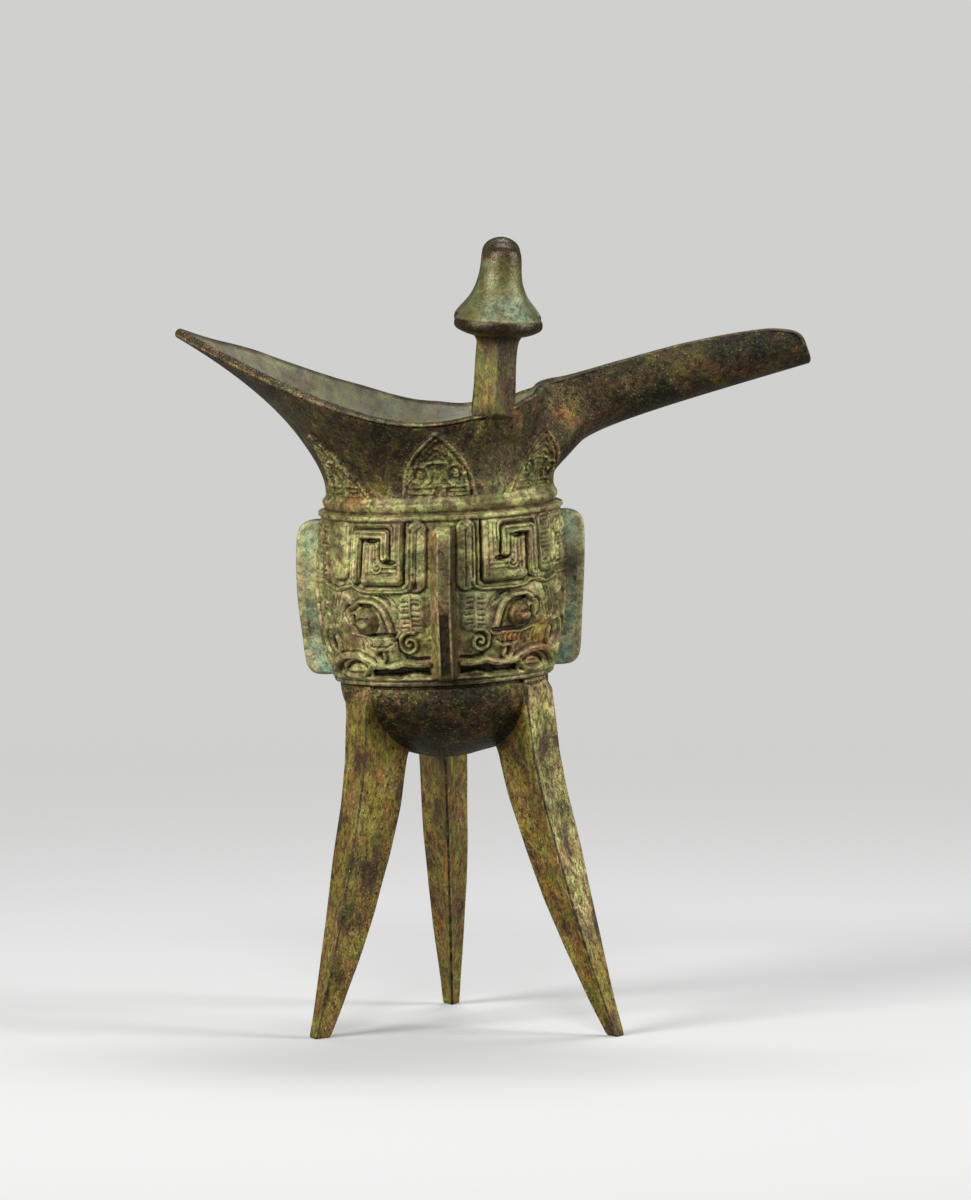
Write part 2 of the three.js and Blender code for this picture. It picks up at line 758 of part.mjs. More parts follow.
// Pegs at both ends of the strap that sit in pockets of the wall.
function handlePegs(grow) {
  const ends = [handlePath[0].z, handlePath[handlePath.length - 1].z];
  return ends.map((height) => {
    const from = wallRadius(height) - handlePegDepth - grow;
    const to = wallRadius(height) + handlePegDepth;
    const place = new THREE.Matrix4().makeTranslation(0, (from + to) / 2, height);
    return boxSolid(handlePegWidth + 2 * grow, to - from, handlePegHeight + 2 * grow, place);
  });
}

function headSeatHeight() {
  const t = Array.from({ length: 200 }, (unused, i) => i / 200)
    .find((value) => handleCurve.getPointAt(value).y >= headRadius);
  return handleCurve.getPointAt(t).z + handleThickness / 2;
}

function headPeg(grow) {
  const length = headPegLength + 2 + grow;
  const place = headSeatHeight() - 2 + length / 2;
  return solidOf(new THREE.CylinderGeometry(headPegRadius + grow, headPegRadius + grow, length, 12)
    .rotateX(Math.PI / 2)
    .translate(0, headRadius, place));
}

function ball(x, y, z, sizeX, sizeY, sizeZ, tilt) {
  return solidOf(new THREE.SphereGeometry(1, 12, 8)
    .scale(sizeX, sizeY, sizeZ)
    .rotateX(tilt)
    .translate(x, headRadius + y, headSeatHeight() + z));
}

// Horned animal head that looks out and a little down: skull, muzzle, eyes, ears and curled horns.
function beastHead() {
  const tilt = radians(-25);
  let head = ball(0, -0.5, 4.6, 5.4, 5.6, 4.8, tilt)
    .add(ball(0, 5, 3.6, 3.9, 4.6, 3.2, tilt));
  [-1, 1].forEach((side) => {
    const horn = new THREE.CatmullRomCurve3([
      new THREE.Vector3(side * 2.2, headRadius - 2.5, headSeatHeight() + 7),
      new THREE.Vector3(side * 5, headRadius - 3.6, headSeatHeight() + 9.6),
      new THREE.Vector3(side * 7.2, headRadius - 1.6, headSeatHeight() + 9.4),
      new THREE.Vector3(side * 7.6, headRadius + 0.8, headSeatHeight() + 7.6),
    ]);
    const section = new THREE.Shape();
    section.absarc(0, 0, 1.3, 0, 2 * Math.PI);
    const tube = new THREE.ExtrudeGeometry(section, { extrudePath: horn, steps: 5,
      curveSegments: 6, bevelEnabled: false });
    head = head.add(solidOf(tube))
      .add(ball(side * 4, 2.2, 6.4, 1.5, 1.5, 1.5, 0))
      .add(ball(side * 5.6, -0.4, 4.4, 1.9, 1.1, 1.5, 0));
  });
  return head
    .subtract(strap(handleWidth + 4, handleThickness / 2 + clearance, handleThickness, 0.1, 0.6))
    .subtract(headPeg(clearance));
}

// Chaplets.

function chapletFrame(index) {
  if (index === 0) {
    return new THREE.Matrix4().makeTranslation(0, 0, bowlBottomHeight);
  }
  const azimuth = radians(chapletAzimuths[index - 1]);
  let height = bowlBottomHeight;
  while (wallRadius(height) < chapletRing) {
    height += 0.05;
  }
  const slope = wallRadius(height + 0.5) - wallRadius(height - 0.5);
  const normal = around(azimuth, 1, -slope).normalize();
  const across = new THREE.Vector3(-Math.sin(azimuth), Math.cos(azimuth), 0);
  const along = across.clone().cross(normal);
  return frameAt(along, across, normal, around(azimuth, chapletRing, height));
}

function chapletBar(index, grow) {
  const side = chapletSide + 2 * grow;
  return boxSolid(side, side, 4 * bowlWall, chapletFrame(index));
}

// The pieces.

const bowlInside = bowlSpace();
const filledGrown = filledCup(clearance);
const shellGrown = cupShell(clearance);
const belowGround = ground();
const pieces = [];

// Moves the band's top and the neck a little to the spout, with all that is joined to them.
function shifted(solid) {
  return solid.warp((point) => {
    const share = smooth(point[2], neckShiftFrom, neckHeight) * (1 - smooth(point[2], neckHeight, neckShiftTo));
    point[0] += neckShift * share;
  });
}

function addPiece(name, solid, finish) {
  const material = new THREE.MeshStandardMaterial(finish);
  const mesh = new THREE.Mesh(geometryOf(shifted(solid)), material);
  mesh.name = name;
  pieces.push(mesh);
}

const plainShell = cupShell(0);
let cup = plainShell.add(masks());

// Each leg is cast over a stub under the bowl, with a clay core below the stub.
legs.forEach((leg) => {
  const hollowTop = lowerRingHeight - ringWidth;
  const stubBottom = bowlBottomHeight - legStubLength;
  const hollow = legBody(leg, legCoreBottom - clearance, hollowTop, legWall);
  cup = cup.add(legBody(leg, stubBottom, hollowTop, legWall + clearance).subtract(bowlInside));
  const body = legBody(leg, legSections[0].z, lowerRingHeight - ringWidth / 2 - clearance, 0)
    .subtract(filledGrown)
    .subtract(hollow)
    .subtract(belowGround);
  addPiece(`leg_${leg.name}`, body, bronze);
  const core = legBody(leg, legCoreBottom, stubBottom - clearance, legWall + clearance);
  addPiece(`core_leg_${leg.name}`, core, firedClay);
});

flanges.forEach((flange) => {
  const azimuth = radians(flange.azimuth);
  cup = cup.subtract(tongue(azimuth, clearance));
  const fin = uprightPlate(flangeShape(), flangeThickness, azimuth)
    .subtract(filledGrown)
    .add(tongue(azimuth, 0));
  addPiece(`flange_${flange.name}`, fin, paleBronze);
});

[['near', -1, 0], ['far', 1, farPostDrop]].forEach(([name, side, drop]) => {
  addPiece(`post_${name}`, postSolid(side, drop), bronze);
  addPiece(`post_cap_${name}`, capSolid(side, drop), darkBronze);
  addPiece(`core_cap_${name}`, capCore(side, drop), firedClay);
});

const halfStrap = handleThickness / 2;
let handle = strap(handleWidth, halfStrap, halfStrap, 0, 1)
  .subtract(strap(handleCoreWidth + 2 * clearance, clearance - halfStrap + handleCoreDepth,
    handleThickness, 0.12, 0.88))
  .subtract(filledGrown)
  .add(headPeg(0));
handlePegs(0).forEach((peg) => {
  handle = handle.add(peg);
});
handlePegs(clearance).forEach((pocket) => {
  cup = cup.subtract(pocket);
});
addPiece('handle', handle, bronze);
addPiece('handle_beast_head', beastHead(), darkBronze);
addPiece('core_handle', strap(handleCoreWidth, handleCoreDepth - halfStrap, halfStrap, 0.13, 0.87),
  firedClay);

for (let index = 0; index <= chapletAzimuths.length; index += 1) {
  addPiece(`chaplet_${index + 1}`, plainShell.intersect(chapletBar(index, 0)), darkBronze);
  cup = cup.subtract(chapletBar(index, clearance));
}

addPiece('cup', cup, bronze);

// The leaning cup on its pivot, then the whole moved so that the middle of its base is the origin.
const leaning = new THREE.Group();
leaning.rotation.y = -leanAngle;
leaning.position.z = leanPivotHeight;
pieces.forEach((mesh) => {
  mesh.position.z = -leanPivotHeight;
  leaning.add(mesh);
});

const group = new THREE.Group();
group.add(leaning);
group.updateMatrixWorld(true);
const box = new THREE.Box3().setFromObject(group, true);
const middle = box.getCenter(new THREE.Vector3());
group.position.set(-middle.x, -middle.y, -box.min.z);

export default group;
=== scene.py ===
import math

import bmesh
import bpy
import numpy as np
from mathutils import Matrix, Vector


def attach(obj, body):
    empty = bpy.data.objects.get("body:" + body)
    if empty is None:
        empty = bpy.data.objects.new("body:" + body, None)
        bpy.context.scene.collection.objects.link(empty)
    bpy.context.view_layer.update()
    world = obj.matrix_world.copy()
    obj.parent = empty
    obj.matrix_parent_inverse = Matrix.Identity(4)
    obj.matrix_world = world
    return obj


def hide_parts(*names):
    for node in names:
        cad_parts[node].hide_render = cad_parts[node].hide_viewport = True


bl_info = {
    "name": "Bronze libation cup",
    "version": (1, 0, 0),
    "blender": (4, 5, 0),
    "location": "View3D > Sidebar > Bronze cup",
    "description": "A three-legged jue cup in cast bronze, with its relief, patina and a plain stage",
    "category": "Add Mesh",
}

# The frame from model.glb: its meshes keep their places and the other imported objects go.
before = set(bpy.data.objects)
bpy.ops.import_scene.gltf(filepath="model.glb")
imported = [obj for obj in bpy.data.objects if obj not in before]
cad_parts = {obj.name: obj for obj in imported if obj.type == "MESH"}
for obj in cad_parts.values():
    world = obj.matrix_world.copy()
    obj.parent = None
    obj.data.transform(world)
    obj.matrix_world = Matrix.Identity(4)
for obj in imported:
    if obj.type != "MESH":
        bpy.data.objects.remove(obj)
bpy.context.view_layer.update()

# The cup's own upright frame is in millimetres. It leans about Y and stands at this place of the row.
MM = 0.001
LEAN = math.radians(2.5)
CUP_PLACE = np.array([-8.617, -8.366, 0.106])

# Wall of the cup: heights and radii of its main levels, where the relief band's mesh begins, and how
# thick the wall is at the bowl and at the rim.
BOWL_BOTTOM = 70.5
LOWER_RING = 91.3
LOWER_RING_RADIUS = 27.0
BELLY = 115.0
BELLY_RADIUS = 32.3
BAND_TOP = 135.2
BAND_TOP_RADIUS = 31.0
NECK = 141.0
NECK_RADIUS = 29.6
BAND_FROM = 90.2
BOWL_WALL = 3.0
RIM_WALL = 2.4

# Rim stations from the lip's middle to the tail's tip on one side: the angle on the neck where the
# wall line starts, the rim point, and reach, drop and lift, which bend that line.
RIM = np.array([
    [0, 98.6, 0, 169.2, 0.24, 13.2, 11.5],
    [6, 98.7, 4.4, 169.9, 0.34, 12.2, 11.5],
    [11, 98.0, 7.6, 172.6, 0.56, 9.6, 11.5],
    [15, 96.4, 9.2, 176.8, 0.8, 9.6, 11.5],
    [19, 92.4, 10.0, 178.6, 0.94, 11, 11.5],
    [24, 84.6, 10.5, 178.9, 0.98, 12.5, 11.5],
    [30, 67.6, 11.0, 176.6, 1, 14, 11.5],
    [36, 50, 11.6, 172.7, 1, 15, 11.5],
    [42, 36.2, 13.0, 169.3, 1, 14, 11],
    [47, 30.4, 15.8, 168, 0.95, 13, 10],
    [52, 28.0, 20.5, 165.8, 0.85, 11, 9],
    [58, 23.4, 26.4, 164, 0.7, 9.5, 8],
    [67, 14.8, 31.8, 162, 0.55, 8.5, 7],
    [82, 2, 35.6, 160.1, 0.42, 8, 6],
    [98, -11, 35.8, 160.9, 0.42, 8, 6],
    [116, -26, 31.8, 165.1, 0.42, 9.5, 8],
    [136, -41, 23.4, 171.2, 0.4, 12, 10],
    [157, -54.6, 12.4, 177.6, 0.38, 14, 11.5],
    [180, -66.2, 0, 183.4, 0.37, 14.6, 12],
])
LAST_STATION = len(RIM) - 1
LIP_TOP_STATION = 4
SPOUT_ROOT_STATION = 10
CHANNEL_FROM = 31.0
CHANNEL_TO = 46.0
CHANNEL_SQUARENESS = 2.4
FAR_TAIL_LIFT = 2.0
FAR_SPOUT_DROP = 1.4

# Legs: azimuth and the azimuth their face looks to; sections by height, face distance, half width, depth.
LEGS = {
    "leg_front_tail": (213.6, 204.0),
    "leg_front_spout": (333.6, 328.0),
    "leg_rear": (92.9, 92.9),
}
LEG_SECTIONS = np.array([
    [-4, 47.3, 2.0, 3.8],
    [7, 44.0, 2.9, 6.4],
    [20, 40.5, 4.2, 9.2],
    [33, 37.4, 5.3, 11.7],
    [46, 34.4, 6.0, 13.6],
    [60, 31.1, 6.4, 14.6],
    [72, 28.9, 6.6, 15.1],
    [89, 27.4, 6.6, 15.2],
])
LEG_TOP = 91.5

# Flanges: azimuth of each, and their shared outline as distance from the axis and height.
FRONT_FLANGE = 271.3
FLANGES = {"flange_tail": 180.0, "flange_front": FRONT_FLANGE, "flange_spout": 0.0}
FLANGE_THICKNESS = 3.6
FLANGE_BOTTOM = 93.6
FLANGE_TOP = 134.0
FLANGE_OUTLINE = [
    (28, FLANGE_BOTTOM), (31.4, FLANGE_BOTTOM), (33.6, FLANGE_BOTTOM + 0.5), (35.1, FLANGE_BOTTOM + 2),
    (35.8, FLANGE_BOTTOM + 4.6), (36.5, 106), (37.2, 114), (37.5, 122), (37.4, 128.4), (36.9, 131.2),
    (35.4, 133.1), (33, 133.9), (29, FLANGE_TOP),
]

# Posts: the stem's middle where it crosses the rim, its lean and turn, and its square section.
POST_X = 15.4
POST_Y = 28.2
POST_BOTTOM = 157.0
POST_SHOULDER = 181.0
POST_LEAN = math.radians(5.6)
POST_TURN = math.radians(41)
POST_FOOT_SIDE = 8.4
POST_HEAD_SIDE = 7.8
FAR_POST_DROP = 2.4
CAP_PROFILE = [
    (0, 4.6), (0.7, 7.6), (1.7, 10.2), (2.3, 11.1), (2.9, 11.45), (3.6, 11.5), (4.3, 11.4), (5.0, 11.0),
    (6.2, 10.1), (7.6, 8.9), (9.7, 7.4), (11.7, 6.5), (13.8, 5.85), (15.9, 5.45), (18, 5.25),
    (20, 5.15), (21.8, 4.85), (23, 4.15), (23.9, 3.05), (24.5, 1.7), (24.8, 0),
]

# The hand-made neck stands a little nearer the spout than the belly does.
NECK_SHIFT = 1.0
NECK_SHIFT_FROM = 110.0
NECK_SHIFT_TO = 155.0

# Handle: middle line at the rear, as distance from the axis and height, and its bar's section.
HANDLE_PATH = [
    (29, 129.6), (38, 132.2), (48, 129.6), (53.6, 121), (53.2, 110), (47, 101), (38, 97.4), (27, 97.2),
]
HANDLE_SECTION = {"Width": 11.0, "Thickness": 4.5, "Corner": 1.1}

# Animal head: its distance from the axis and its tilt. Its rounded parts follow, each with place, half
# width, depth and height, and whether it tilts: first those in the middle, then those of one side. Last
# come the middle line of one horn and the voxels that join the parts.
HEAD_RADIUS = 41.0
HEAD_TILT = math.radians(-25)
HEAD_MIDDLE = [
    (0, -0.5, 4.6, 5.2, 5.4, 4.6, True), (0, 4.6, 3.6, 3.7, 4.6, 3.0, True),
    (0, 7.6, 2.6, 3.3, 1.9, 1.7, True), (0, 3.2, 6.6, 0.9, 3.4, 1.3, True),
]
HEAD_SIDE = [
    (3.9, 2.3, 6.3, 1.5, 1.5, 1.5, False), (3.6, 2.2, 7.6, 2.0, 1.2, 0.6, True),
    (5.8, -0.6, 4.6, 1.7, 0.8, 1.4, False), (1.7, 8.6, 3.6, 0.8, 0.8, 0.7, False),
]
HEAD_HORN = [(2.2, -2.5, 7), (5, -3.6, 9.4), (7.1, -1.6, 9.2), (7.4, 0.8, 7.4)]
HEAD_VOXEL = 0.22

# Leaves of the neck: the foot's height, and the rise and half width of the one that is drawn. Then for
# each leaf, in millimetres along the wall from the front: its middle, its widths to both sides, its
# tip's height, lean and bow. The last is for the leaf at the rear, opposite the first.
LEAF_FOOT = 139.4
LEAF_RISE = 18.8
LEAF_HALF = 10
LEAVES = [
    (0, 10.3, 10.3, 158.2, 0.6, 1),
    (31.3, 11.6, 8.6, 158.6, 3.2, 0.1),
    (-31.3, 8.6, 11, 158.2, -4, 0.1),
    (70.2, 8.6, 11.6, 158.6, -3.2, 0.1),
    (-70.2, 11, 8.6, 158.2, 4, 0.1),
]
REAR_LEAF = (10.3, 10.3, 158.2, 0, 1)

# The wall's arc above the neck counts a little less than its length, so that the leaves keep their rise.
CLIMB_SHARE = 0.96

# Level of the wall where the spout's channel starts to run into the lip's slanted end.
LIP_FROM = 0.88

# Half the height of the rounded rim.
RIM_ROUND = 0.8

# Grid steps over which a relief is compared with its surroundings.
CREST_STEPS = 4

# Noises of the patina: scale per metre, detail, roughness and distortion.
NOISES = {
    "cloud": (75, 5, 0.62, 0.4),
    "blot": (125, 7, 0.64, 0.3),
    "drift": (170, 5, 0.6, 0.2),
    "patch": (210, 6, 0.66, 0.5),
    "mottle": (620, 5, 0.7, 0.3),
    "pits": (1150, 2, 0.5, 0),
    "grain": (2100, 3, 0.62, 0),
}

# Vertex attributes that steer the patina. Besides the patina's own colour, dark also carries painted shade
# and pale carries painted highlights, and crest paints shade in grooves and highlights on ridges.
STEERING = ("crest", "dark", "rust", "green", "pale")

# Stage in metres: the floor's half width, and the distances between which it fades to the backdrop.
FLOOR_HALF = 12
FLOOR_FADE = (0.16, 0.75)

# Lamps: place, size and watts. Then where they point, and the camera's place and where it points.
LAMPS = {
    "key_left": ((-1.05, -0.95, 0.75), (0.55, 0.9), 20),
    "key_right": ((1.3, -0.3, 0.6), (0.5, 0.9), 13),
    "front": ((-0.1, -1.3, 1.3), (0.4, 0.3), 6),
    "top": ((0.1, 0.5, 1.4), (0.6, 0.4), 7),
}
LAMP_AIM = (0, 0, 0.11)
CAMERA_PLACE = (-0.00188, -3.0084, 0.4)
CAMERA_AIM = (-0.00188, -0.008366, 0.1115)


def size_setting(name, description, default, highest, lowest=0.0):
    """Setting of a size, given in millimetres."""
    return bpy.props.FloatProperty(name=name, description=description, default=default * MM,
                                   min=lowest * MM, max=highest * MM, unit="LENGTH", precision=5)


def colour_setting(name, description, default):
    return bpy.props.FloatVectorProperty(name=name, description=description, subtype="COLOR",
                                         default=default, min=0, max=1)


class CupShape(bpy.types.PropertyGroup):
    """Sizes of the surface detail that a user may change."""

    relief: size_setting("Relief height", "Height of the mask's plates over their ground", 1.1, 2)
    thunder: size_setting("Thunder pattern depth", "Depth of the fine spirals that fill the ground", 0.35, 1)
    mesh_step: size_setting("Relief mesh step", "Distance between the vertices of the relief", 0.21, 1, 0.1)
    fillet: size_setting("Joint fillet", "Reach of the soft fillet where legs and posts meet the wall", 3, 6)


class CupFinish(bpy.types.PropertyGroup):
    """Colours of the patina."""

    olive: colour_setting("Olive", "Main colour of the patina", (0.185, 0.166, 0.050))
    ochre: colour_setting("Ochre", "Yellow earth colour of the legs", (0.310, 0.192, 0.026))
    # Pale also paints highlights on ridges, rims and lit sides.
    pale: colour_setting("Pale", "Rubbed ridges and pale specks", (0.455, 0.405, 0.165))
    rust: colour_setting("Rust", "Orange patches", (0.360, 0.180, 0.036))
    # Brown also paints shade in shallow grooves and at the edge of dark fields.
    brown: colour_setting("Brown", "Worn metal and blotches", (0.078, 0.049, 0.017))
    verdigris: colour_setting("Verdigris", "Pale green of the side flanges", (0.222, 0.322, 0.228))
    moss: colour_setting("Moss", "Green film", (0.140, 0.170, 0.066))
    # This dark colour also paints shade in deep grooves and openings, under the spout, on the lower bowl and
    # on shaded sides.
    shade: colour_setting("Dark", "Dirt of the grooves and dark fields", (0.016, 0.013, 0.005))
    lining: colour_setting("Lining", "Grey-beige of the inside", (0.230, 0.215, 0.155))
    clay: colour_setting("Core clay", "Fired clay of the casting cores", (0.230, 0.120, 0.070))


class StageLook(bpy.types.PropertyGroup):
    """Colours of the floor and the room, and the camera's lens."""

    floor: colour_setting("Floor", "Colour of the plain floor", (0.75, 0.75, 0.74))
    floor_return: colour_setting("Floor return", "Floor colour as other surfaces see it",
                                 (0.16, 0.155, 0.15))
    surround: colour_setting("Surround", "Soft light from the room", (0.16, 0.165, 0.17))
    backdrop: colour_setting("Backdrop", "Colour behind the object", (0.63, 0.63, 0.62))
    lens: bpy.props.FloatProperty(
        name="Lens", description="Focal length for a 36 mm long side", default=348, min=50, max=600)


# Arithmetic that is used throughout.
def smooth(value, low, high):
    """Soft step from 0 at low to 1 at high."""
    share = np.clip((value - low) / (high - low), 0, 1)
    return share * share * (3 - 2 * share)


def span(value, start, full, fading, end):
    """Soft rise from start to full, and soft fall from fading to end."""
    return smooth(value, start, full) * (1 - smooth(value, fading, end))


def bell(value, middle, width):
    """Bell curve that is 1 in the middle."""
    return np.exp(-((value - middle) / width) ** 2)


def mix(a, b, share):
    return a + (b - a) * share


def around(azimuth, radius, height):
    """Points at an azimuth in radians, a distance from the axis and a height."""
    return np.stack(np.broadcast_arrays(radius * np.cos(azimuth), radius * np.sin(azimuth), height), -1)


def unit(vectors):
    return vectors / np.maximum(np.linalg.norm(vectors, axis=-1, keepdims=True), 1e-12)


def rounded_path(points, count):
    """Evenly spaced points on a Catmull-Rom curve through the given ones."""
    points = np.array(points, float)
    ends = np.vstack([2 * points[0] - points[1], points, 2 * points[-1] - points[-2]])
    fine = []
    for a, b, c, d in zip(ends, ends[1:], ends[2:], ends[3:]):
        for t in np.linspace(0, 1, 24, endpoint=False):
            fine.append(catmull(a, b, c, d, t))
    fine = np.vstack([fine, points[-1]])
    length = np.concatenate([[0], np.cumsum(np.linalg.norm(np.diff(fine, axis=0), axis=1))])
    even = np.linspace(0, length[-1], count)
    return np.stack([np.interp(even, length, fine[:, i]) for i in range(points.shape[1])], 1)


def catmull(a, b, c, d, t):
    slope_b, slope_c = (c - a) / 2, (d - b) / 2
    cubic = 2 * (b - c) + slope_b + slope_c
    square = 3 * (c - b) - 2 * slope_b - slope_c
    return ((cubic * t + square) * t + slope_b) * t + b


# The cup's wall.
def wall_radius(height):
    """Radius of the outer wall below the neck."""
    height = np.asarray(height, float)
    turn = np.arccos(np.clip(1 - (height - BOWL_BOTTOM) / (LOWER_RING - BOWL_BOTTOM), 0, 1))
    bowl = LOWER_RING_RADIUS * np.sin(turn) ** 1.15
    low = (BELLY - height) / (BELLY - LOWER_RING)
    high = (height - BELLY) / (BAND_TOP - BELLY)
    lower_band = BELLY_RADIUS - (BELLY_RADIUS - LOWER_RING_RADIUS) * low ** 2
    upper_band = BELLY_RADIUS - (BELLY_RADIUS - BAND_TOP_RADIUS) * high ** 2
    neck = mix(BAND_TOP_RADIUS, NECK_RADIUS, smooth(height, BAND_TOP, NECK))
    return np.select([height < LOWER_RING, height < BELLY, height < BAND_TOP],
                     [bowl, lower_band, upper_band], neck)


def rim_station(place):
    """Angle, x, y, z, reach, drop and lift at places along the rim; places are minus on the far side."""
    place = np.asarray(place, float)
    mirror = np.array([-1, 1, -1, 1, 1, 1, 1])
    before = RIM[1] * mirror
    after = RIM[[LAST_STATION - 1, LAST_STATION - 2]] * mirror
    after[:, 0] += 360
    table = np.vstack([before, RIM, after])
    along = np.abs(place)
    first = np.minimum(along.astype(int), LAST_STATION - 1)
    t = (along - first)[..., None]
    row = catmull(table[first], table[first + 1], table[first + 2], table[first + 3], t)
    angle, x, y, z, reach, drop, lift = np.moveaxis(row, -1, 0)
    far = place < 0
    beside_tail = smooth(x, RIM[-1, 1], -46) * (1 - smooth(x, -22, 4))
    along_spout = smooth(x, 0, 10) * smooth(y, 0, 9)
    z = z + far * (FAR_TAIL_LIFT * beside_tail - FAR_SPOUT_DROP * along_spout)
    side = np.where(far, 1, -1)
    return np.radians(angle) * side, x, y * side, z, reach, drop, lift


def wall_line(place, level):
    """Points of the wall above the neck before the spout is squared: level 0 on the neck, 1 on the rim."""
    angle, x, y, z, reach, drop, lift = rim_station(place)
    start = around(angle, NECK_RADIUS, NECK)
    rim = np.stack([x, y, z], -1)
    rise = start + lift[..., None] * np.array([0, 0, 1])
    turn = mix(start, rim, reach[..., None])
    turn[..., 2] = z - drop
    t = np.asarray(level, float)[..., None]
    return ((1 - t) ** 3 * start + 3 * (1 - t) ** 2 * t * rise
            + 3 * (1 - t) * t ** 2 * turn + t ** 3 * rim)


def spout_edges():
    """Upper edges of the spout on the near and far side, and the line under it, with x rising."""
    places = np.arange(SPOUT_ROOT_STATION, LIP_TOP_STATION - 0.01, -0.25)
    near, far = (rim_station(side * places) for side in (1, -1))
    under = wall_line(np.zeros(61), np.linspace(0, 1, 61))
    return near, far, under


NEAR_EDGE, FAR_EDGE, SPOUT_UNDER = spout_edges()


def upper_wall(place, level):
    """Points of the outer wall above the neck, with the spout drawn out to its squared channel."""
    place, level = np.broadcast_arrays(np.asarray(place, float), np.asarray(level, float))
    point = wall_line(place, level)
    x, y, z = np.moveaxis(point, -1, 0)
    share = smooth(x, CHANNEL_FROM, CHANNEL_TO)
    near = y < 0
    top = np.where(near, np.interp(x, NEAR_EDGE[1], NEAR_EDGE[3]), np.interp(x, FAR_EDGE[1], FAR_EDGE[3]))
    half = np.where(near, np.interp(x, NEAR_EDGE[1], np.abs(NEAR_EDGE[2])),
                    np.interp(x, FAR_EDGE[1], np.abs(FAR_EDGE[2])))
    depth = top - np.interp(x, SPOUT_UNDER[:, 0], SPOUT_UNDER[:, 2])
    power = CHANNEL_SQUARENESS
    size = (np.abs(y / half) ** power + np.abs((top - z) / depth) ** power) ** (1 / power)
    size = np.maximum(size, 1e-6)
    drawn = np.stack([x, y / size, top - (top - z) / size], -1)
    share = np.where(level < 1, share, 0)[..., None]
    return mix(point, drawn, share)


def rim_places(count):
    """Places along the rim for closed columns, counter-clockwise from the tail tip."""
    return LAST_STATION - 2 * LAST_STATION * np.arange(count) / count


# Meshes.
def to_row(points):
    """Cup millimetres to metres of the row frame."""
    x, y, z = np.moveaxis(np.asarray(points, float), -1, 0)
    x = x + NECK_SHIFT * smooth(z, NECK_SHIFT_FROM, NECK) * (1 - smooth(z, NECK, NECK_SHIFT_TO))
    leaning = np.stack([x * math.cos(LEAN) - z * math.sin(LEAN), y,
                        x * math.sin(LEAN) + z * math.cos(LEAN)], -1)
    return (leaning + CUP_PLACE) * MM


def grid_faces(rows, columns, closed):
    """Quads of a grid of rows and columns, with the last column joined to the first where closed."""
    row = np.arange(rows - 1)[:, None]
    column = np.arange(columns if closed else columns - 1)[None, :]
    following = (column + 1) % columns
    quads = np.stack([row * columns + column, row * columns + following,
                      (row + 1) * columns + following, (row + 1) * columns + column], -1)
    return quads.reshape(-1, 4)


def grid_normals(points, closed):
    """Outward normals of a grid whose columns run counter-clockwise and whose rows run up."""
    if closed:
        along = np.roll(points, -1, 1) - np.roll(points, 1, 1)
    else:
        along = np.gradient(points, axis=1)
    up = np.gradient(points, axis=0)
    return unit(np.cross(along, up))


def new_object(name, data):
    """An object of this data, placed in the scene."""
    made = bpy.data.objects.new(name, data)
    bpy.context.scene.collection.objects.link(made)
    return made


def make_piece(name, points, faces, node, slot, values, *materials, sharp=None):
    """A mesh object from cup points, riding the body and standing for a CAD node.

    A piece that would have its node's name gets one of its own. Values are its vertex attributes.
    """
    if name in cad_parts:
        name += "_skin"
    mesh = bpy.data.meshes.new(name)
    mesh.from_pydata(to_row(points).tolist(), [], [tuple(face) for face in faces])
    mesh.validate()
    mesh.shade_smooth()
    if sharp is not None:
        mesh.set_sharp_from_angle(angle=math.radians(sharp))
    piece = new_object(name, mesh)
    for key, numbers in values.items():
        layer = mesh.attributes.new(key, "FLOAT", "POINT")
        layer.data.foreach_set("value", np.asarray(numbers, np.float32).ravel())
    settle(piece, node)
    for material in materials:
        mesh.materials.append(material)
    return piece


def settle(piece, node):
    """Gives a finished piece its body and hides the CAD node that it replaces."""
    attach(piece, "root")
    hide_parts(*([node] if isinstance(node, str) else node))


def closed_rings(rings, flip=False, open_top=False):
    """Points and faces of a body from rings of equal count, with a fan at both ends or only below."""
    rings = np.asarray(rings, float)
    rows, columns = rings.shape[:2]
    points = np.vstack([rings.reshape(-1, 3), rings[0].mean(0)])
    faces = [tuple(face) for face in grid_faces(rows, columns, True)]
    first, last = rows * columns, rows * columns + 1
    for i in range(columns):
        following = (i + 1) % columns
        faces.append((first, following, i))
        if not open_top:
            faces.append((last, (rows - 1) * columns + i, (rows - 1) * columns + following))
    if not open_top:
        points = np.vstack([points, rings[-1].mean(0)])
    if flip:
        faces = [face[::-1] for face in faces]
    return points, faces


def body_values(numbers, shape):
    """Numbers for the points of a closed body, from those on its rings; both end points get 0."""
    return np.append(np.broadcast_to(numbers, shape).ravel(), [0, 0])


# Relief, drawn on a flat sheet: across is millimetres along the wall, up is height.
def box_gap(across, up, left, right, bottom, top, corner):
    """Distance outside a rounded box, minus inside."""
    dx = np.abs(across - (left + right) / 2) - (right - left) / 2 + corner
    dy = np.abs(up - (bottom + top) / 2) - (top - bottom) / 2 + corner
    outside = np.hypot(np.maximum(dx, 0), np.maximum(dy, 0))
    return outside + np.minimum(np.maximum(dx, dy), 0) - corner


def line_gap(across, up, points):
    """Distance to a line through points."""
    best = np.full(np.shape(across), 1e6)
    for (x0, y0), (x1, y1) in zip(points, points[1:]):
        dx, dy = x1 - x0, y1 - y0
        share = np.clip(((across - x0) * dx + (up - y0) * dy) / max(dx * dx + dy * dy, 1e-9), 0, 1)
        best = np.minimum(best, np.hypot(across - x0 - share * dx, up - y0 - share * dy))
    return best


def scroll(x, y, start, end, turns, angle):
    """Points of a round spiral from radius start to end; turns are minus for clockwise."""
    steps = max(int(abs(turns) * 20), 4)
    t = np.linspace(0, 1, steps + 1)
    turn = math.radians(angle) + t * turns * 2 * math.pi
    radius = mix(start, end, t)
    return list(zip(x + radius * np.cos(turn), y + radius * np.sin(turn)))


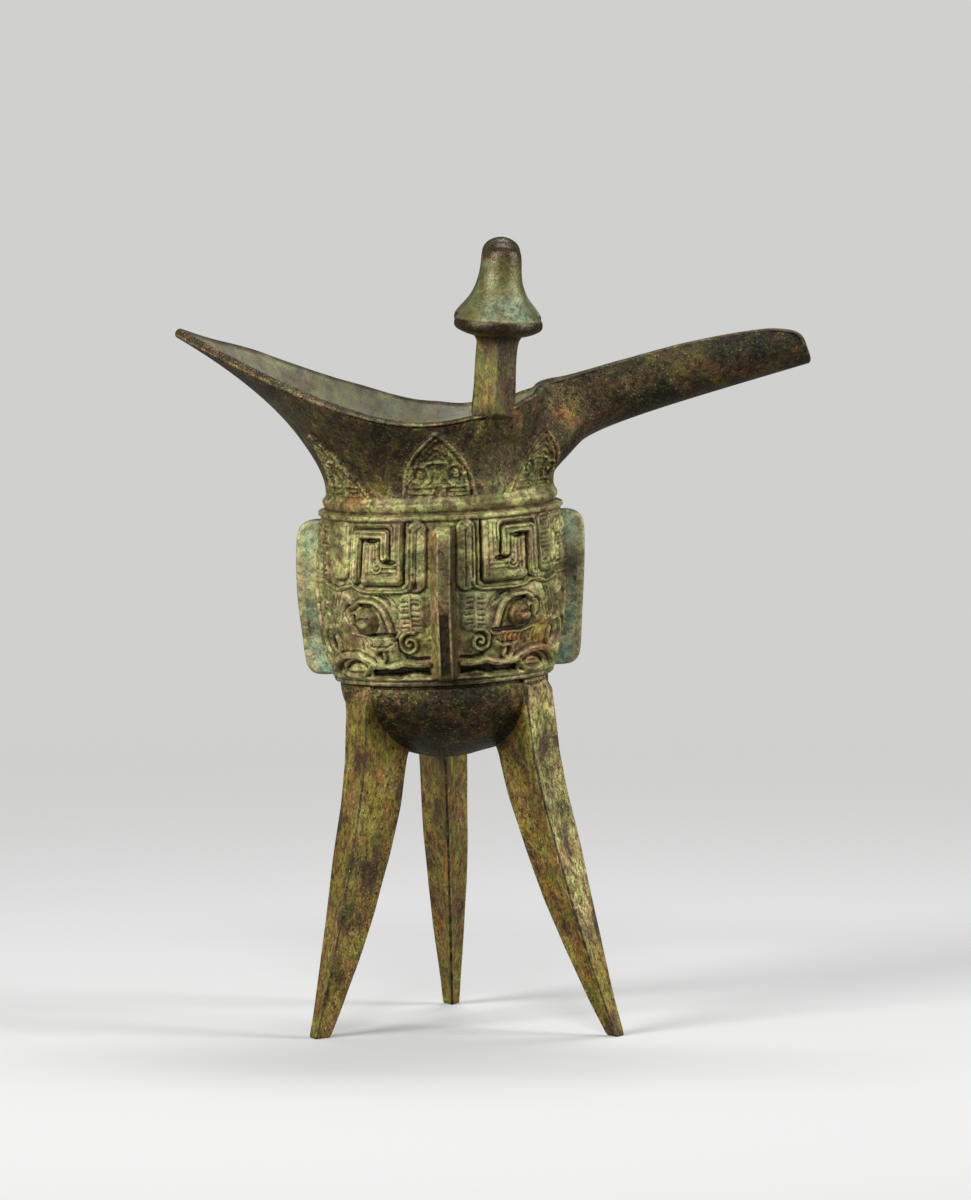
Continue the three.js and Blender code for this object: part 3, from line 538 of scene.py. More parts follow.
def meander(left, right, bottom, top, pitch, start=0):
    """Points of a squared spiral that winds into a box, from one of its corners."""
    corners = []
    while right - left > 0.4 * pitch and top - bottom > 0.4 * pitch:
        corners += [(left, bottom), (right, bottom), (right, top), (left, top)]
        left, right, bottom, top = left + pitch, right - pitch, bottom + pitch, top - pitch
        corners[-1] = (left - pitch, top + pitch)
        corners.append((left - pitch, bottom))
    return corners[start:]


class Sheet:
    """Height of the relief over a grid, built up from plates, ridges, grooves and hollows."""

    def __init__(self, across, up):
        self.across, self.up = across, up
        self.height = np.zeros(across.shape)
        self.field = np.zeros(across.shape)

    def near(self, points, margin):
        xs, ys = zip(*points)
        return ((self.across > min(xs) - margin) & (self.across < max(xs) + margin)
                & (self.up > min(ys) - margin) & (self.up < max(ys) + margin))

    def blend_to(self, spot, gap, level, edge):
        share = smooth(-gap, -edge / 2, edge / 2)
        self.height[spot] = mix(self.height[spot], level, share)

    def plate(self, box, level, corner=0.8, edge=0.7):
        left, right, bottom, top = box
        spot = self.near([(left, bottom), (right, top)], 1)
        gap = box_gap(self.across[spot], self.up[spot], left, right, bottom, top, corner)
        self.blend_to(spot, gap, level, edge)

    def band(self, points, half, level, edge=0.7):
        spot = self.near(points, half + 1)
        gap = line_gap(self.across[spot], self.up[spot], points) - half
        self.blend_to(spot, gap, level, edge)

    def ridge(self, points, half, rise):
        spot = self.near(points, half + 0.5)
        gap = line_gap(self.across[spot], self.up[spot], points) / half
        self.height[spot] += rise * np.clip(1 - gap * gap, 0, 1) ** 1.5

    def oval(self, x, y, wide, tall, level, edge=0.5, tilt=0):
        turn = math.radians(tilt)
        dx, dy = self.across - x, self.up - y
        a = dx * math.cos(turn) + dy * math.sin(turn)
        b = dy * math.cos(turn) - dx * math.sin(turn)
        gap = np.hypot(a / wide, b / tall)
        share = 1 - smooth(gap, 1 - edge, 1)
        self.height[:] = mix(self.height, level, share)

    def dome(self, x, y, wide, tall, rise):
        gap = np.hypot((self.across - x) / wide, (self.up - y) / tall)
        bulge = rise * np.sqrt(np.clip(1 - gap * gap, 0, 1))
        self.height[:] = np.maximum(self.height, np.where(gap < 1, bulge, -9))


def thunder(sheet, box, pitch, depth, start=0):
    """Fills a box with a fine squared spiral."""
    sheet.ridge(meander(*box, pitch, start), 0.42 * pitch, depth)


def horn(sheet, plate, fine, out):
    """The squared horn: an outer hook over a block of nested lines; out moves its outer parts."""
    inner = 0.7 * out
    sheet.plate((10.8, 23.4 + inner, 118.8, 134.5), 0.5 * plate, 0.8, 0.5)
    for step in (0, 1.25, 2.5):
        sheet.ridge([(11.5 + step, 134), (11.5 + step, 121.6 + step)], 0.4, fine)
    for height in (122.2, 123.4):
        sheet.ridge([(12.6, height), (17.4 + out, height)], 0.4, fine)
    for across in (19.9, 21.1, 22.2):
        sheet.ridge([(across + out, 121.9), (across + out, 128.9)], 0.4, 1.2 * fine)
    sheet.band([(11.8, 120.2), (22.6 + inner, 120.2)], 0.95, plate, 0.5)
    sheet.band([(11.3, 120.2), (11.3, 124.5)], 0.5, 0.9 * plate, 0.5)
    sheet.ridge(scroll(18.8 + out, 123.2, 0.2, 1.6, 1.4, 200), 0.45, 0.6)
    hook = [(17 + out, 125.8), (17 + out, 131.6), (25.7 + out, 131.6), (25.7 + out, 120.2)]
    sheet.band(hook, 1.75, -0.35, 0.6)
    sheet.band(hook, 1.1, 1.15 * plate, 0.5)
    sheet.ridge(hook, 0.35, -0.3)
    sheet.oval(15.7 + out, 124.5, 2.3, 0.75, -1.0, 0.4)
    sheet.oval(21.3 + out, 130.0, 2.2, 0.8, -1.0, 0.4)
    # The groove round the block and the thin ridge that frames the horn.
    sheet.ridge([(23.8 + inner, 129.6), (23.8 + inner, 119.3), (22.8 + inner, 118.3), (11.2, 118.2),
                 (10.2, 119.2), (10.2, 134.4)], 0.5, -0.75)
    sheet.ridge([(15 + out, 129), (15 + out, 133.2), (15.9 + out, 134), (26.7 + out, 134),
                 (27.6 + out, 133.1), (27.6 + out, 120.4)], 0.42, 0.7)


def ear(sheet, plate, near_tail):
    """Plate behind the horn: smooth on one side, filled with lines on the other."""
    if near_tail:
        sheet.plate((26.7, 33, 120, 134.6), plate, 2.4, 0.6)
        return
    sheet.plate((28.2, 36, 119.8, 134.8), plate, 2.6, 0.6)
    thunder(sheet, (29.2, 32.8, 130.4, 133.8), 1.1, -0.4)
    for height in (129.2, 128, 126.9):
        sheet.ridge([(29, height), (32.6, height)], 0.36, -0.35)
    thunder(sheet, (29.2, 32.6, 121.6, 125.9), 1.1, -0.4)
    sheet.ridge([(34.4, 121.4), (34.4, 133.6)], 0.4, -0.3)


def nose_panel(sheet, shift):
    """Low panel beside the nose with two columns of short strokes and feathers over it."""
    sheet.plate((4.6 + shift, 11.6, 106.4, 116.2), 0.35, 1.4, 0.8)
    for height in (114.6, 113.4, 111.8, 110.3, 109, 107.9):
        wander = 0.3 * math.sin(3.1 * height)
        sheet.ridge([(5.9 + shift - wander, height), (7.6 + shift, height + 0.2)], 0.34, -0.36)
        sheet.ridge([(9.2, height - 0.3), (10.8 + wander, height - 0.4)], 0.34, -0.4)
    sheet.ridge([(8.4 + 0.5 * shift, 116), (8.3 + 0.5 * shift, 106.8)], 0.36, 0.35)
    sheet.ridge([(10.1, 115), (10.1, 108.4)], 0.3, -0.2)
    for step in (0, 1.15, 2.3, 3.4):
        sheet.ridge([(11.6 + 0.75 * step, 112 + 0.45 * step), (12.9 + 0.9 * step, 114 + 0.35 * step),
                     (14.8 + step, 115.9)], 0.38, -0.55)


def eye_place(near_tail):
    """Middle of the eye across and up, and how far outwards its pupil is set."""
    return (21.2, 109.3, 0.5) if near_tail else (21.2, 109.7, 1.1)


def eye(sheet, near_tail):
    """Staring eye: a raised crescent, a deep one inside it, the ball and its slit pupil."""
    x, y, slant = eye_place(near_tail)
    sheet.band([(x - 7.6, y - 4.2), (x - 6.5, y - 0.4), (x - 5.6, y + 2.2), (x - 4.4, y + 4),
                (x - 2.2, y + 5), (x + 1.4, y + 5.1), (x + 4.4, y + 3.9), (x + 6, y + 2.9)], 0.7, 1.25, 0.7)
    sheet.band([(x - 5.7, y - 2.8), (x - 5, y + 0.2), (x - 4, y + 2.4), (x - 2, y + 3.9),
                (x + 1.6, y + 4.1)], 0.5, -0.75, 0.7)
    sheet.band([(x - 7.6, y - 3.7), (x - 4, y - 3.9), (x + 0.2, y - 3.8), (x + 3.2, y - 2.8),
                (x + 4.4, y - 1.2), (x + 4.6, y + 1)], 0.6, -1.1, 0.7)
    sheet.dome(x, y, 3.4, 3.4, 2.5)
    sheet.ridge([(x + slant - 1.9, y + 0.7), (x + slant, y + 0.9), (x + slant + 1.8, y + 0.4)], 0.4, -0.6)


def eye_marks(across, up, near_tail):
    """Shares of the eye's ball and of its pupil, which have colours of their own."""
    middle, height, slant = eye_place(near_tail)
    ball = 1 - smooth(np.hypot(across - middle, up - height), 2.9, 3.7)
    pupil = 1 - smooth(np.hypot((across - middle - slant) / 2, (up - height + 0.5) / 0.95), 0.75, 1)
    return ball, pupil


def cheek(sheet, near_tail):
    """Cheek with its hook and the feather strokes round it."""
    sheet.plate((26.6, 35.4, 106.4, 116.4), 0.5, 2.6, 1.6)
    sheet.ridge([(25.4, 113.3), (27.6, 113.2), (28.6, 112.2), (28.4, 110.2), (27.4, 109)], 0.5, -0.8)
    for i in range(4):
        sheet.ridge([(30 + 1.5 * i, 116.2 - 0.6 * i), (31 + 1.5 * i, 113.4 - 0.5 * i)], 0.42, -0.5)
        sheet.ridge([(29.4 + 1.4 * i, 111.4 - 0.3 * i), (30.8 + 1.4 * i, 108.4 - 0.2 * i)], 0.42, -0.45)
    for i in range(3, 6) if near_tail else range(9):
        low = 102.2 + 0.6 * math.sin(2.3 * i)
        sheet.ridge([(17 + 1.5 * i, 104.9 + 0.03 * i), (16.2 + 1.5 * i, 103.3), (16.6 + 1.5 * i, low)],
                    0.36, -0.38)
    sheet.ridge([(13.4, 104.6), (17, 105.2), (22, 105), (27, 105.9)], 0.4, 0.4)


def mouth_line(sheet, near_tail):
    """Nostril scroll, curl and wavy lips over the open mouth."""
    nostril = 9.2 if near_tail else 9.6
    sheet.ridge(scroll(nostril, 103.4, 0.3, 3.2, 1.6, 260), 0.75, 1.1)
    sheet.ridge([(nostril + 3.4, 104.2), (nostril + 3.1, 101.4), (10.6, 99.9), (7.6, 99.3), (4.4, 99.4)],
                0.6, -0.9)
    sheet.ridge(scroll(18, 99.9, 0.4, 2.2, 1.3, 20), 0.62, 1.0)
    sheet.oval(18.2, 100.2, 0.9, 1.1, -0.8, 0.5)
    sheet.ridge([(14.6, 103.2), (16.2, 102.4), (20.6, 102.4)], 0.45, -0.45)
    sheet.band([(4.4, 98.2), (8.4, 97.9), (11.4, 98.6), (13.6, 97.9), (16, 97.4), (19.2, 97.7), (21, 98.2),
                (23, 99.2), (25.6, 100.3), (31, 100.2), (35.4, 98.8), (38.6, 96.6)], 0.78, 1.6, 0.7)
    sheet.band([(22.2, 98.4), (23.2, 96.6), (25.6, 95), (31, 94.6), (36, 95.4)], 0.5, 1.0, 0.7)
    sheet.band([(4.6, 96), (9, 96.4), (12.6, 95.9)], 1.0, -1.8, 0.5)
    sheet.band([(13.6, 95.6), (16.6, 95.9), (19, 95.8), (21.8, 95.2)], 1.1, -1.8, 0.5)
    sheet.band([(24.6, 96.9), (26.6, 98), (29.4, 98.1), (32.2, 97.3), (34, 96.2)], 0.5, -1.1, 0.6)
    sheet.ridge([(26, 96.2), (32.4, 96.1)], 0.5, 0.4)


def mask_body(sheet, fine):
    """What lies beyond the cheek: hollow ring, low tail that rolls in, claw and thunder ground."""
    for left, bottom in ((37.8, 121), (37.8, 128), (44, 121), (44, 128), (45, 112), (45, 105)):
        thunder(sheet, (left, left + 4.8, bottom, bottom + 5.4), 1.2, 1.3 * fine)
    sheet.oval(37, 103, 3, 3.4, -0.9, 0.5)
    sheet.ridge(scroll(37, 103, 3.9, 4.4, 0.9, 150), 0.8, 1.0)
    sheet.ridge([(36, 118.6), (41, 119), (47, 118.6), (50, 119)], 0.7, 0.7)
    sheet.ridge([(36.6, 113.4), (40.4, 115.4), (44, 113.4), (43.4, 107), (46.6, 102.4), (50, 102)], 0.8, 0.8)
    sheet.ridge([(36.4, 110.4), (39.4, 111.6), (41.4, 109.6)], 0.6, 0.6)
    sheet.ridge(scroll(45.6, 98, 0.4, 2.4, 1.4, 90), 0.6, 0.8)


def half_mask(sheet, near_tail):
    """One half of the animal mask, from the flange outwards, in millimetres along the wall.

    The half on the tail's side of the front differs a little from the other, as on the cast piece.
    """
    shape = bpy.context.scene.cup_shape
    plate = shape.relief / MM
    fine = shape.thunder / MM
    out = -1.4 if near_tail else 0
    shift = 0.9 if near_tail else 0
    mask_body(sheet, fine)
    # Nose bar with its inner lines, the groove round it and the ridge beside it.
    sheet.plate((3.5 + shift, 8.4 + shift, 116.8, 134.9), plate, 2.3, 0.5)
    sheet.ridge([(6.9 + shift, 117.6), (6.9 + shift, 132.2), (6, 133.6)], 0.4, 0.4)
    sheet.ridge([(5.9 + shift, 117.8), (5.9 + shift, 132)], 0.42, -0.4)
    sheet.ridge([(7.7 + shift, 118), (7.7 + shift, 132.6)], 0.36, -0.4)
    horn(sheet, plate, fine, out)
    ear(sheet, plate, near_tail)
    sheet.ridge([(9.3 + 0.3 * shift, 118.4), (9.3 + 0.3 * shift, 134)], 0.36, 0.5)
    # Brow ridge under the horn.
    sheet.ridge([(7.6, 119.4), (8.4, 117.6), (10.2, 116.9), (20, 116.8), (23, 117.2), (25, 118.3),
                 (28, 118), (31, 117.2), (36, 118.4)], 0.62, 0.95)
    nose_panel(sheet, 0.5 * shift)
    eye(sheet, near_tail)
    cheek(sheet, near_tail)
    mouth_line(sheet, near_tail)


def band_height(across, up, near_tail):
    """Relief of one sector of the band with its two plain edges."""
    sheet = Sheet(across, up)
    half_mask(sheet, near_tail)
    sheet.height *= span(up, 93.9, 94.9, 134.6, 135.3)
    # Raised strips that frame the band, and the grooves in and outside them.
    sheet.height += 0.9 * span(up, 92, 92.5, 94.2, 94.9)
    sheet.height -= 0.35 * bell(up, 93.4, 0.3)
    sheet.height -= 0.9 * bell(up, LOWER_RING, 0.42)
    sheet.height += 0.75 * span(up, 134.6, 135.2, 135.9, 136.5)
    sheet.height -= 0.75 * bell(up, 137.1, 0.5)
    return sheet.height + neck_ring(up)


def neck_ring(up):
    """Rise of the soft ring at the foot of the neck, which lies across the seam of two pieces."""
    return 0.45 * bell(up, 138.8, 0.8)


def crest(rise, reach):
    """How far a relief stands out of its surroundings, taken over reach grid steps each way."""
    weights = np.hanning(2 * reach + 3)[1:-1]
    weights /= weights.sum()
    level = np.pad(rise, reach, mode="edge")
    for axis in (0, 1):
        level = np.apply_along_axis(np.convolve, axis, level, weights, "valid")
    return rise - level


def leaf_edge(up, bow):
    """Half width of a leaf at a share of its height, where its foot is 1 wide; bow swells its sides."""
    return 1 - up + 0.27 * bow * np.sin(math.pi * np.clip(up, 0, 1))


def leaf(sheet, middle, left, right, tip, lean, bow):
    """One rising leaf of the neck with its small mask, given the widths of its foot and its tip's height."""
    def at(points):
        """Places in this leaf from places in the one that is drawn, whose sides are bowed."""
        spots = []
        for x, z in points:
            up = (z - LEAF_FOOT) / LEAF_RISE
            share = x / (LEAF_HALF * max(leaf_edge(up, 1), 0.16)) * max(leaf_edge(up, bow), 0)
            spots.append((middle + lean * up + share * (left if x < 0 else right),
                          LEAF_FOOT + up * (tip - LEAF_FOOT)))
        return spots

    for share, half, rise, low in ((1, 0.62, 0.75, 0), (0.8, 0.46, 0.5, 0.4)):
        levels = np.linspace(low, 1, 12)
        for side in (-1, 1):
            line = [(LEAF_HALF * side * share * leaf_edge(up, 1),
                     LEAF_FOOT + LEAF_RISE * up - 9 * (1 - share) * up) for up in levels]
            sheet.ridge(at(line[:-1] + [(0, line[-1][1])]), half, rise)
    sheet.ridge(at([(-3.4, 151.2), (0, 154.2), (3.4, 151.6)]), 0.45, 0.42)
    sheet.ridge(at([(-1.8, 150.9), (0, 152.4), (1.8, 151)]), 0.4, 0.4)
    sheet.ridge(at([(-4, 149), (-2, 150), (2, 150), (3, 149)]), 0.5, 0.55)
    for middle_of_eye in (-4.8, 4.7):
        away = math.copysign(1, middle_of_eye)
        sheet.ridge(at(scroll(middle_of_eye, 146.7, 2.4, 2.8, 0.75 * away, 90 - 100 * away)), 0.55, 0.65)
        sheet.ridge(at(scroll(middle_of_eye, 146.7, 0.2, 1.0, 1, 90)), 0.5, 0.6)
        cheek_line = [(2.6, 147), (3.2, 144), (3.3, 140.6)]
        sheet.ridge(at([(middle_of_eye + x * away, z) for x, z in cheek_line]), 0.5, 0.55)
    sheet.ridge(at([(-1.4, 143.5), (-7.4, 143.5), (-7.4, 141.9), (-2, 141.9)]), 0.55, 0.55)
    sheet.ridge(at([(1.4, 140), (1.4, 143.5), (7.4, 143.5)]), 0.55, 0.55)
    sheet.ridge(at([(3, 142.4), (7, 142.4)]), 0.45, 0.4)
    sheet.ridge(at([(3, 141.2), (7, 141.2), (8.4, 142.6)]), 0.45, 0.4)
    # The field inside the leaf keeps a lighter patina.
    up = (sheet.up - LEAF_FOOT) / (tip - LEAF_FOOT)
    off = sheet.across - middle - lean * up
    wide = np.where(off < 0, left, right) * np.clip(leaf_edge(up, bow), 0.01, None)
    sheet.field = np.maximum(sheet.field, (1 - smooth(np.abs(off) / wide, 0.94, 1.06)) * (up < 1))


def leaf_height(azimuth, height):
    """Relief of the six leaves that rise from the neck, and the share of their fields."""
    across = BELLY_RADIUS * (azimuth + math.pi / 2)
    turn = 2 * math.pi * BELLY_RADIUS
    across = (across + turn / 2) % turn - turn / 2
    sheet = Sheet(across, height)
    for sizes in LEAVES:
        leaf(sheet, *sizes)
    opposite = Sheet((across + turn) % turn, height)
    leaf(opposite, turn / 2, *REAR_LEAF)
    fade = 1 - smooth(height, 159.4, 160.4)
    return (sheet.height + opposite.height) * fade, (sheet.field + opposite.field) * fade


# Soft joints between pieces.
def fillet_reach(gap, reach):
    """How far a surface swells at a distance from its neighbour."""
    return np.clip(reach - np.abs(gap), 0, None) ** 2 / (4 * max(reach, 1e-6))


def wall_gap(points):
    """Distance from the outer wall below the neck, for points in the cup frame."""
    heights = np.linspace(BOWL_BOTTOM, NECK, 160)
    profile = np.stack([wall_radius(heights), heights], 1)
    radius = np.hypot(points[..., 0], points[..., 1])
    flat_radius, flat_height = radius.ravel(), points[..., 2].ravel()
    gap = line_gap(flat_radius, flat_height, profile.tolist())
    inside = (flat_radius < wall_radius(np.maximum(flat_height, BOWL_BOTTOM))) & (flat_height > BOWL_BOTTOM)
    return np.where(inside, -gap, gap).reshape(radius.shape)


def leg_section(height):
    return [np.interp(height, LEG_SECTIONS[:, 0], LEG_SECTIONS[:, i]) for i in (1, 2, 3)]


def leg_gap(name, points):
    """Distance from a leg's triangular section, for points in the cup frame."""
    azimuth, facing = np.radians(LEGS[name])
    face, half, depth = leg_section(points[..., 2])
    dx = points[..., 0] - face * math.cos(azimuth)
    dy = points[..., 1] - face * math.sin(azimuth)
    out = dx * math.cos(facing) + dy * math.sin(facing)
    across = np.abs(dy * math.cos(facing) - dx * math.sin(facing))
    side = (-half * out + depth * (across - half)) / np.hypot(half, depth)
    return np.maximum(out, side)


# Node trees.
class Nodes:
    """Adds nodes to a tree from left to right and links them."""

    def __init__(self, tree):
        self.tree = tree
        self.count = 0

    def add(self, kind, inputs=None, **settings):
        node = self.tree.nodes.new(kind)
        node.location = (200 * self.count, 0)
        self.count += 1
        for key, value in settings.items():
            setattr(node, key, value)
        for key, value in (inputs or {}).items():
            socket = node.inputs[key]
            if isinstance(value, bpy.types.NodeSocket):
                self.tree.links.new(value, socket)
            else:
                socket.default_value = value
        return node

    def math(self, operation, a, b=0.0, clamp=False):
        return self.add("ShaderNodeMath", {0: a, 1: b}, operation=operation, use_clamp=clamp).outputs[0]

    def plus(self, a, b):
        return self.math("ADD", a, b)

    def times(self, a, b, clamp=False):
        return self.math("MULTIPLY", a, b, clamp)

    def mix(self, share, a, b):
        node = self.add("ShaderNodeMix", data_type="RGBA")
        for index, value in ((0, share), (6, a), (7, b)):
            if isinstance(value, bpy.types.NodeSocket):
                self.tree.links.new(value, node.inputs[index])
            else:
                node.inputs[index].default_value = value
        return node.outputs[2]

    def noise(self, place, scale, detail=4.0, rough=0.55, warp=0.0):
        return self.add("ShaderNodeTexNoise", {"Vector": place, "Scale": scale, "Detail": detail,
                                               "Roughness": rough, "Distortion": warp}).outputs["Fac"]

    def step(self, value, low, high, start=0.0, end=1.0):
        node = self.add("ShaderNodeMapRange", {"Value": value, "From Min": low, "From Max": high,
                                               "To Min": start, "To Max": end},
                        interpolation_type="SMOOTHSTEP")
        return node.outputs["Result"]

    def attribute(self, name):
        return self.add("ShaderNodeAttribute", attribute_name=name).outputs["Fac"]

    def surface(self, colour, roughness, height, strength, distance, metal=0.0):
        """Ends a material's tree in a surface with a bump of this height."""
        bump = self.add("ShaderNodeBump", {"Strength": strength, "Distance": distance, "Height": height})
        shader = self.add("ShaderNodeBsdfPrincipled", {"Base Color": colour, "Metallic": metal,
                                                       "Roughness": roughness, "Normal": bump.outputs[0]})
        self.add("ShaderNodeOutputMaterial", {"Surface": shader.outputs[0]})


def rgba(colour):
    return (*colour, 1.0)


def palette(name):
    """Colour of the patina that has this name among the finish settings."""
    return rgba(getattr(bpy.context.scene.cup_finish, name))


def material_nodes(material, kind=Nodes):
    """Empties a material's tree and returns what adds nodes to it."""
    material.use_nodes = True
    material.node_tree.nodes.clear()
    return kind(material.node_tree)


class PatinaNodes(Nodes):
    """Tree of a patina, in which one colour of the palette is laid over another."""

    def begin(self, ground, along):
        """Sets the ground colour; returns the noises, in a space that is drawn out in height."""
        spot = self.add("ShaderNodeTexCoord").outputs["Object"]
        place = self.add("ShaderNodeMapping", {"Vector": spot, "Scale": (1, 1, along)}).outputs[0]
        self.colour = palette(ground)
        return [self.noise(place, *settings) for settings in NOISES.values()]

    def lay(self, share, name):
        """Lays a colour over what is there."""
        self.colour = self.mix(share, self.colour, palette(name))


class Rule(Nodes):
    """A Geometry Nodes tree with named inputs that ends in Realize Instances and Set Material."""

    def __init__(self, name, inputs):
        super().__init__(bpy.data.node_groups.new(name, "GeometryNodeTree"))
        sockets = self.tree.interface
        for label, kind in (("Geometry", "NodeSocketGeometry"), *inputs):
            sockets.new_socket(label, in_out="INPUT", socket_type=kind)
        sockets.new_socket("Geometry", in_out="OUTPUT", socket_type="NodeSocketGeometry")
        self.start = self.add("NodeGroupInput")

    def input(self, label):
        return self.start.outputs[label]

    def finish(self, geometry):
        real = self.add("GeometryNodeRealizeInstances", {0: geometry})
        dressed = self.add("GeometryNodeSetMaterial",
                           {0: real.outputs[0], "Material": self.input("Material")})
        self.add("NodeGroupOutput", {0: dressed.outputs[0]})
        return self.tree


def plain_mesh(holder):
    """Points and faces of an object with its modifiers; the object is then removed."""
    graph = bpy.context.evaluated_depsgraph_get()
    mesh = bpy.data.meshes.new_from_object(holder.evaluated_get(graph))
    bpy.data.objects.remove(holder)
    points = np.zeros(len(mesh.vertices) * 3)
    mesh.vertices.foreach_get("co", points)
    faces = [tuple(face.vertices) for face in mesh.polygons]
    bpy.data.meshes.remove(mesh)
    return points.reshape(-1, 3), faces


def ruled_mesh(seed, tree, values):
    """Points and faces that a Geometry Nodes tree makes from a seed mesh with these input values."""
    holder = new_object("seed", seed)
    modifier = holder.modifiers.new("Rule", "NODES")
    modifier.node_group = tree
    for socket in tree.interface.items_tree:
        if socket.in_out == "INPUT" and socket.name in values:
            modifier[socket.identifier] = values[socket.name]
    return plain_mesh(holder)


def patina(name, ground="olive", second="ochre", metal=0.36, rough=0.4, blotch=0.7, film="moss",
           speck=1.0, along=1.0, clouds=0.9):
    """Cast bronze with a mottled patina; the attributes crest, dark, rust, green and pale steer it.

    Clouds, blotch and speck set how strong the second colour, the blotches and the fine spots are;
    along draws them all out in height.
    """
    material = bpy.data.materials.get(name)
    if material:
        return material
    material = bpy.data.materials.new(name)
    nodes = material_nodes(material, PatinaNodes)
    cloud, blot, drift, patch, mottle, pits, grain = nodes.begin(ground, along)
    crests, dark, rust, green, pale = (nodes.attribute(key) for key in STEERING)
    # Two ground colours in clouds, then green film, orange, pale, brown and dark fields; the dark fields
    # include painted shade.
    share = nodes.plus(nodes.times(patch, 0.75), nodes.times(mottle, 0.25))
    nodes.lay(nodes.step(share, 0.43, 0.57, 0, clouds), second)
    greened = nodes.plus(nodes.times(green, 1.2), nodes.step(cloud, 0.53, 0.66, 0, 0.6))
    nodes.lay(nodes.times(greened, nodes.step(mottle, 0.38, 0.58, 0.2, 0.9), True), film)
    nodes.lay(nodes.times(rust, nodes.step(patch, 0.36, 0.56, 0.15, 1), True), "rust")
    nodes.lay(nodes.times(pale, nodes.step(mottle, 0.38, 0.58, 0.3, 1), True), "pale")
    off_middle = nodes.math("SUBTRACT", mottle, 0.5)
    browned = nodes.plus(blot, nodes.times(off_middle, 0.4))
    nodes.lay(nodes.step(browned, 0.53, 0.62, 0, blotch), "brown")
    darkened = nodes.times(dark, nodes.step(browned, 0.38, 0.58, 0.45, 1.1))
    nodes.lay(nodes.step(darkened, 0, 0.5, 0, 0.9), "brown")
    nodes.lay(nodes.step(darkened, 0.3, 1.1, 0, 0.9), "shade")
    # Grooves are painted brown and the deepest near black, as dirt and as painted shade; ridges are painted
    # pale, as rubbed metal and as painted highlight, with a warm edge.
    uneven = nodes.plus(crests, nodes.times(off_middle, 0.3))
    nodes.lay(nodes.step(uneven, -0.02, -0.2, 0, 0.8), "brown")
    nodes.lay(nodes.step(uneven, -0.16, -0.42, 0, 0.95), "shade")
    nodes.lay(nodes.step(uneven, 0.08, 0.36, 0, 0.75), "pale")
    worn = nodes.plus(crests, nodes.times(patch, 0.7))
    nodes.lay(nodes.step(worn, 0.64, 0.8, 0, 0.7), "brown")
    # Pits and pale specks at the size of sand grains.
    nodes.lay(nodes.step(pits, 0.62, 0.7, 0, 0.7 * speck), "shade")
    nodes.lay(nodes.step(grain, 0.60, 0.74, 0, 0.35 * speck), "pale")
    # The hue drifts between orange and green, the value by grains and by patches of three sizes.
    fine = nodes.times(nodes.step(mottle, 0.34, 0.66, 1 - 0.36 * speck, 1 + 0.36 * speck),
                       nodes.step(grain, 0.35, 0.65, 1 - 0.18 * speck, 1 + 0.18 * speck))
    wide = nodes.times(nodes.step(cloud, 0.36, 0.62, 0.76, 1.26), nodes.step(patch, 0.36, 0.64, 0.84, 1.16))
    light = nodes.add("ShaderNodeHueSaturation", {
        "Color": nodes.colour, "Hue": nodes.step(drift, 0.38, 0.62, 0.472, 0.530),
        "Value": nodes.times(fine, wide)})
    roughness = nodes.plus(nodes.step(mottle, 0.35, 0.65, rough - 0.1, rough + 0.12),
                           nodes.times(dark, -0.12))
    relief = nodes.plus(nodes.times(mottle, 0.75), nodes.times(grain, 0.25))
    nodes.surface(light.outputs[0], roughness, relief, 0.6 * speck, 0.0007, metal)
    material.diffuse_color = palette(ground)
    return material


def lining():
    """Smooth, dusty patina of the inside."""
    return patina("Lining patina", "lining", "olive", metal=0.2, rough=0.5, blotch=0.3, speck=0.5,
                  clouds=0.5)


def patches(points, spots):
    """Share from soft patches: each is a place in the cup frame, a reach and a strength."""
    share = np.zeros(points.shape[:-1])
    for x, y, z, reach, strength in spots:
        gap = np.linalg.norm(points - np.array([x, y, z]), axis=-1)
        share = np.maximum(share, strength * (1 - smooth(gap, 0.3 * reach, reach)))
    return share


# Patches of the patina in the cup frame: place, reach and strength.
RUST_PATCHES = [
    (35, -15, 159, 10, 0.95), (-58, -10, 175, 18, 0.6), (-24, -20, 143, 9, 0.9), (-30, -12, 133, 10, 0.6),
    (-28, -16, 121, 10, 0.6), (-24, -21, 104, 7, 0.4), (-3.4, -35, 104, 13, 0.9), (19, -26, 107, 9, 0.9),
    (26, -20, 101, 11, 0.9), (-21, -25, 112, 7, 0.4), (92, -8, 172, 13, 0.4), (14, -30, 97, 6, 0.5),
]
GREEN_PATCHES = [
    (16, -26, 150, 13, 0.9), (9, -32, 112, 12, 1.5), (-12, -30, 125, 11, 0.5), (-8, -32, 110, 11, 1.0),
    (14, -27, 152, 9, 1.0), (12, -30, 103, 7, 0.6), (36, -17, 166, 10, 0.7), (52, -10, 173, 11, 0.4),
    (-34, 0, 112, 20, 0.4),
]
PALE_PATCHES = [
    (-31, -12, 117, 22, 1.0), (-9, -32, 108, 13, 0.8), (-25, -16, 146, 10, 0.7), (10, -32, 111, 9, 0.4),
    (-6, -31, 139, 14, 0.5), (-18, -26, 120, 20, 0.8), (-16, -28, 102, 22, 0.85), (24, -22, 138, 12, 0.4),
    (33, -16, 60, 40, 0.25),
]
# Painted shade on the front of the lower bowl, also laid on the legs near it.
BOWL_PAINTED_SHADE = (2, -27, 84, 22, 0.9)
DARK_PATCHES = [
    (-8, -29, 156, 20, 0.95), (-24, -18, 159, 16, 0.7), (15, -28, 153, 14, 0.65), (36, -12, 150, 9, 0.8),
    (-62, -8, 178, 18, 0.8), (52, -10, 172, 20, 0.55), (86, -10, 175, 26, 0.95), (-45, -18, 168, 24, 0.7),
    (38, 0, 116, 14, 0.35), (-37, -2, 106, 6, 0.5), BOWL_PAINTED_SHADE, (2, -36, 103, 10, 0.5),
]


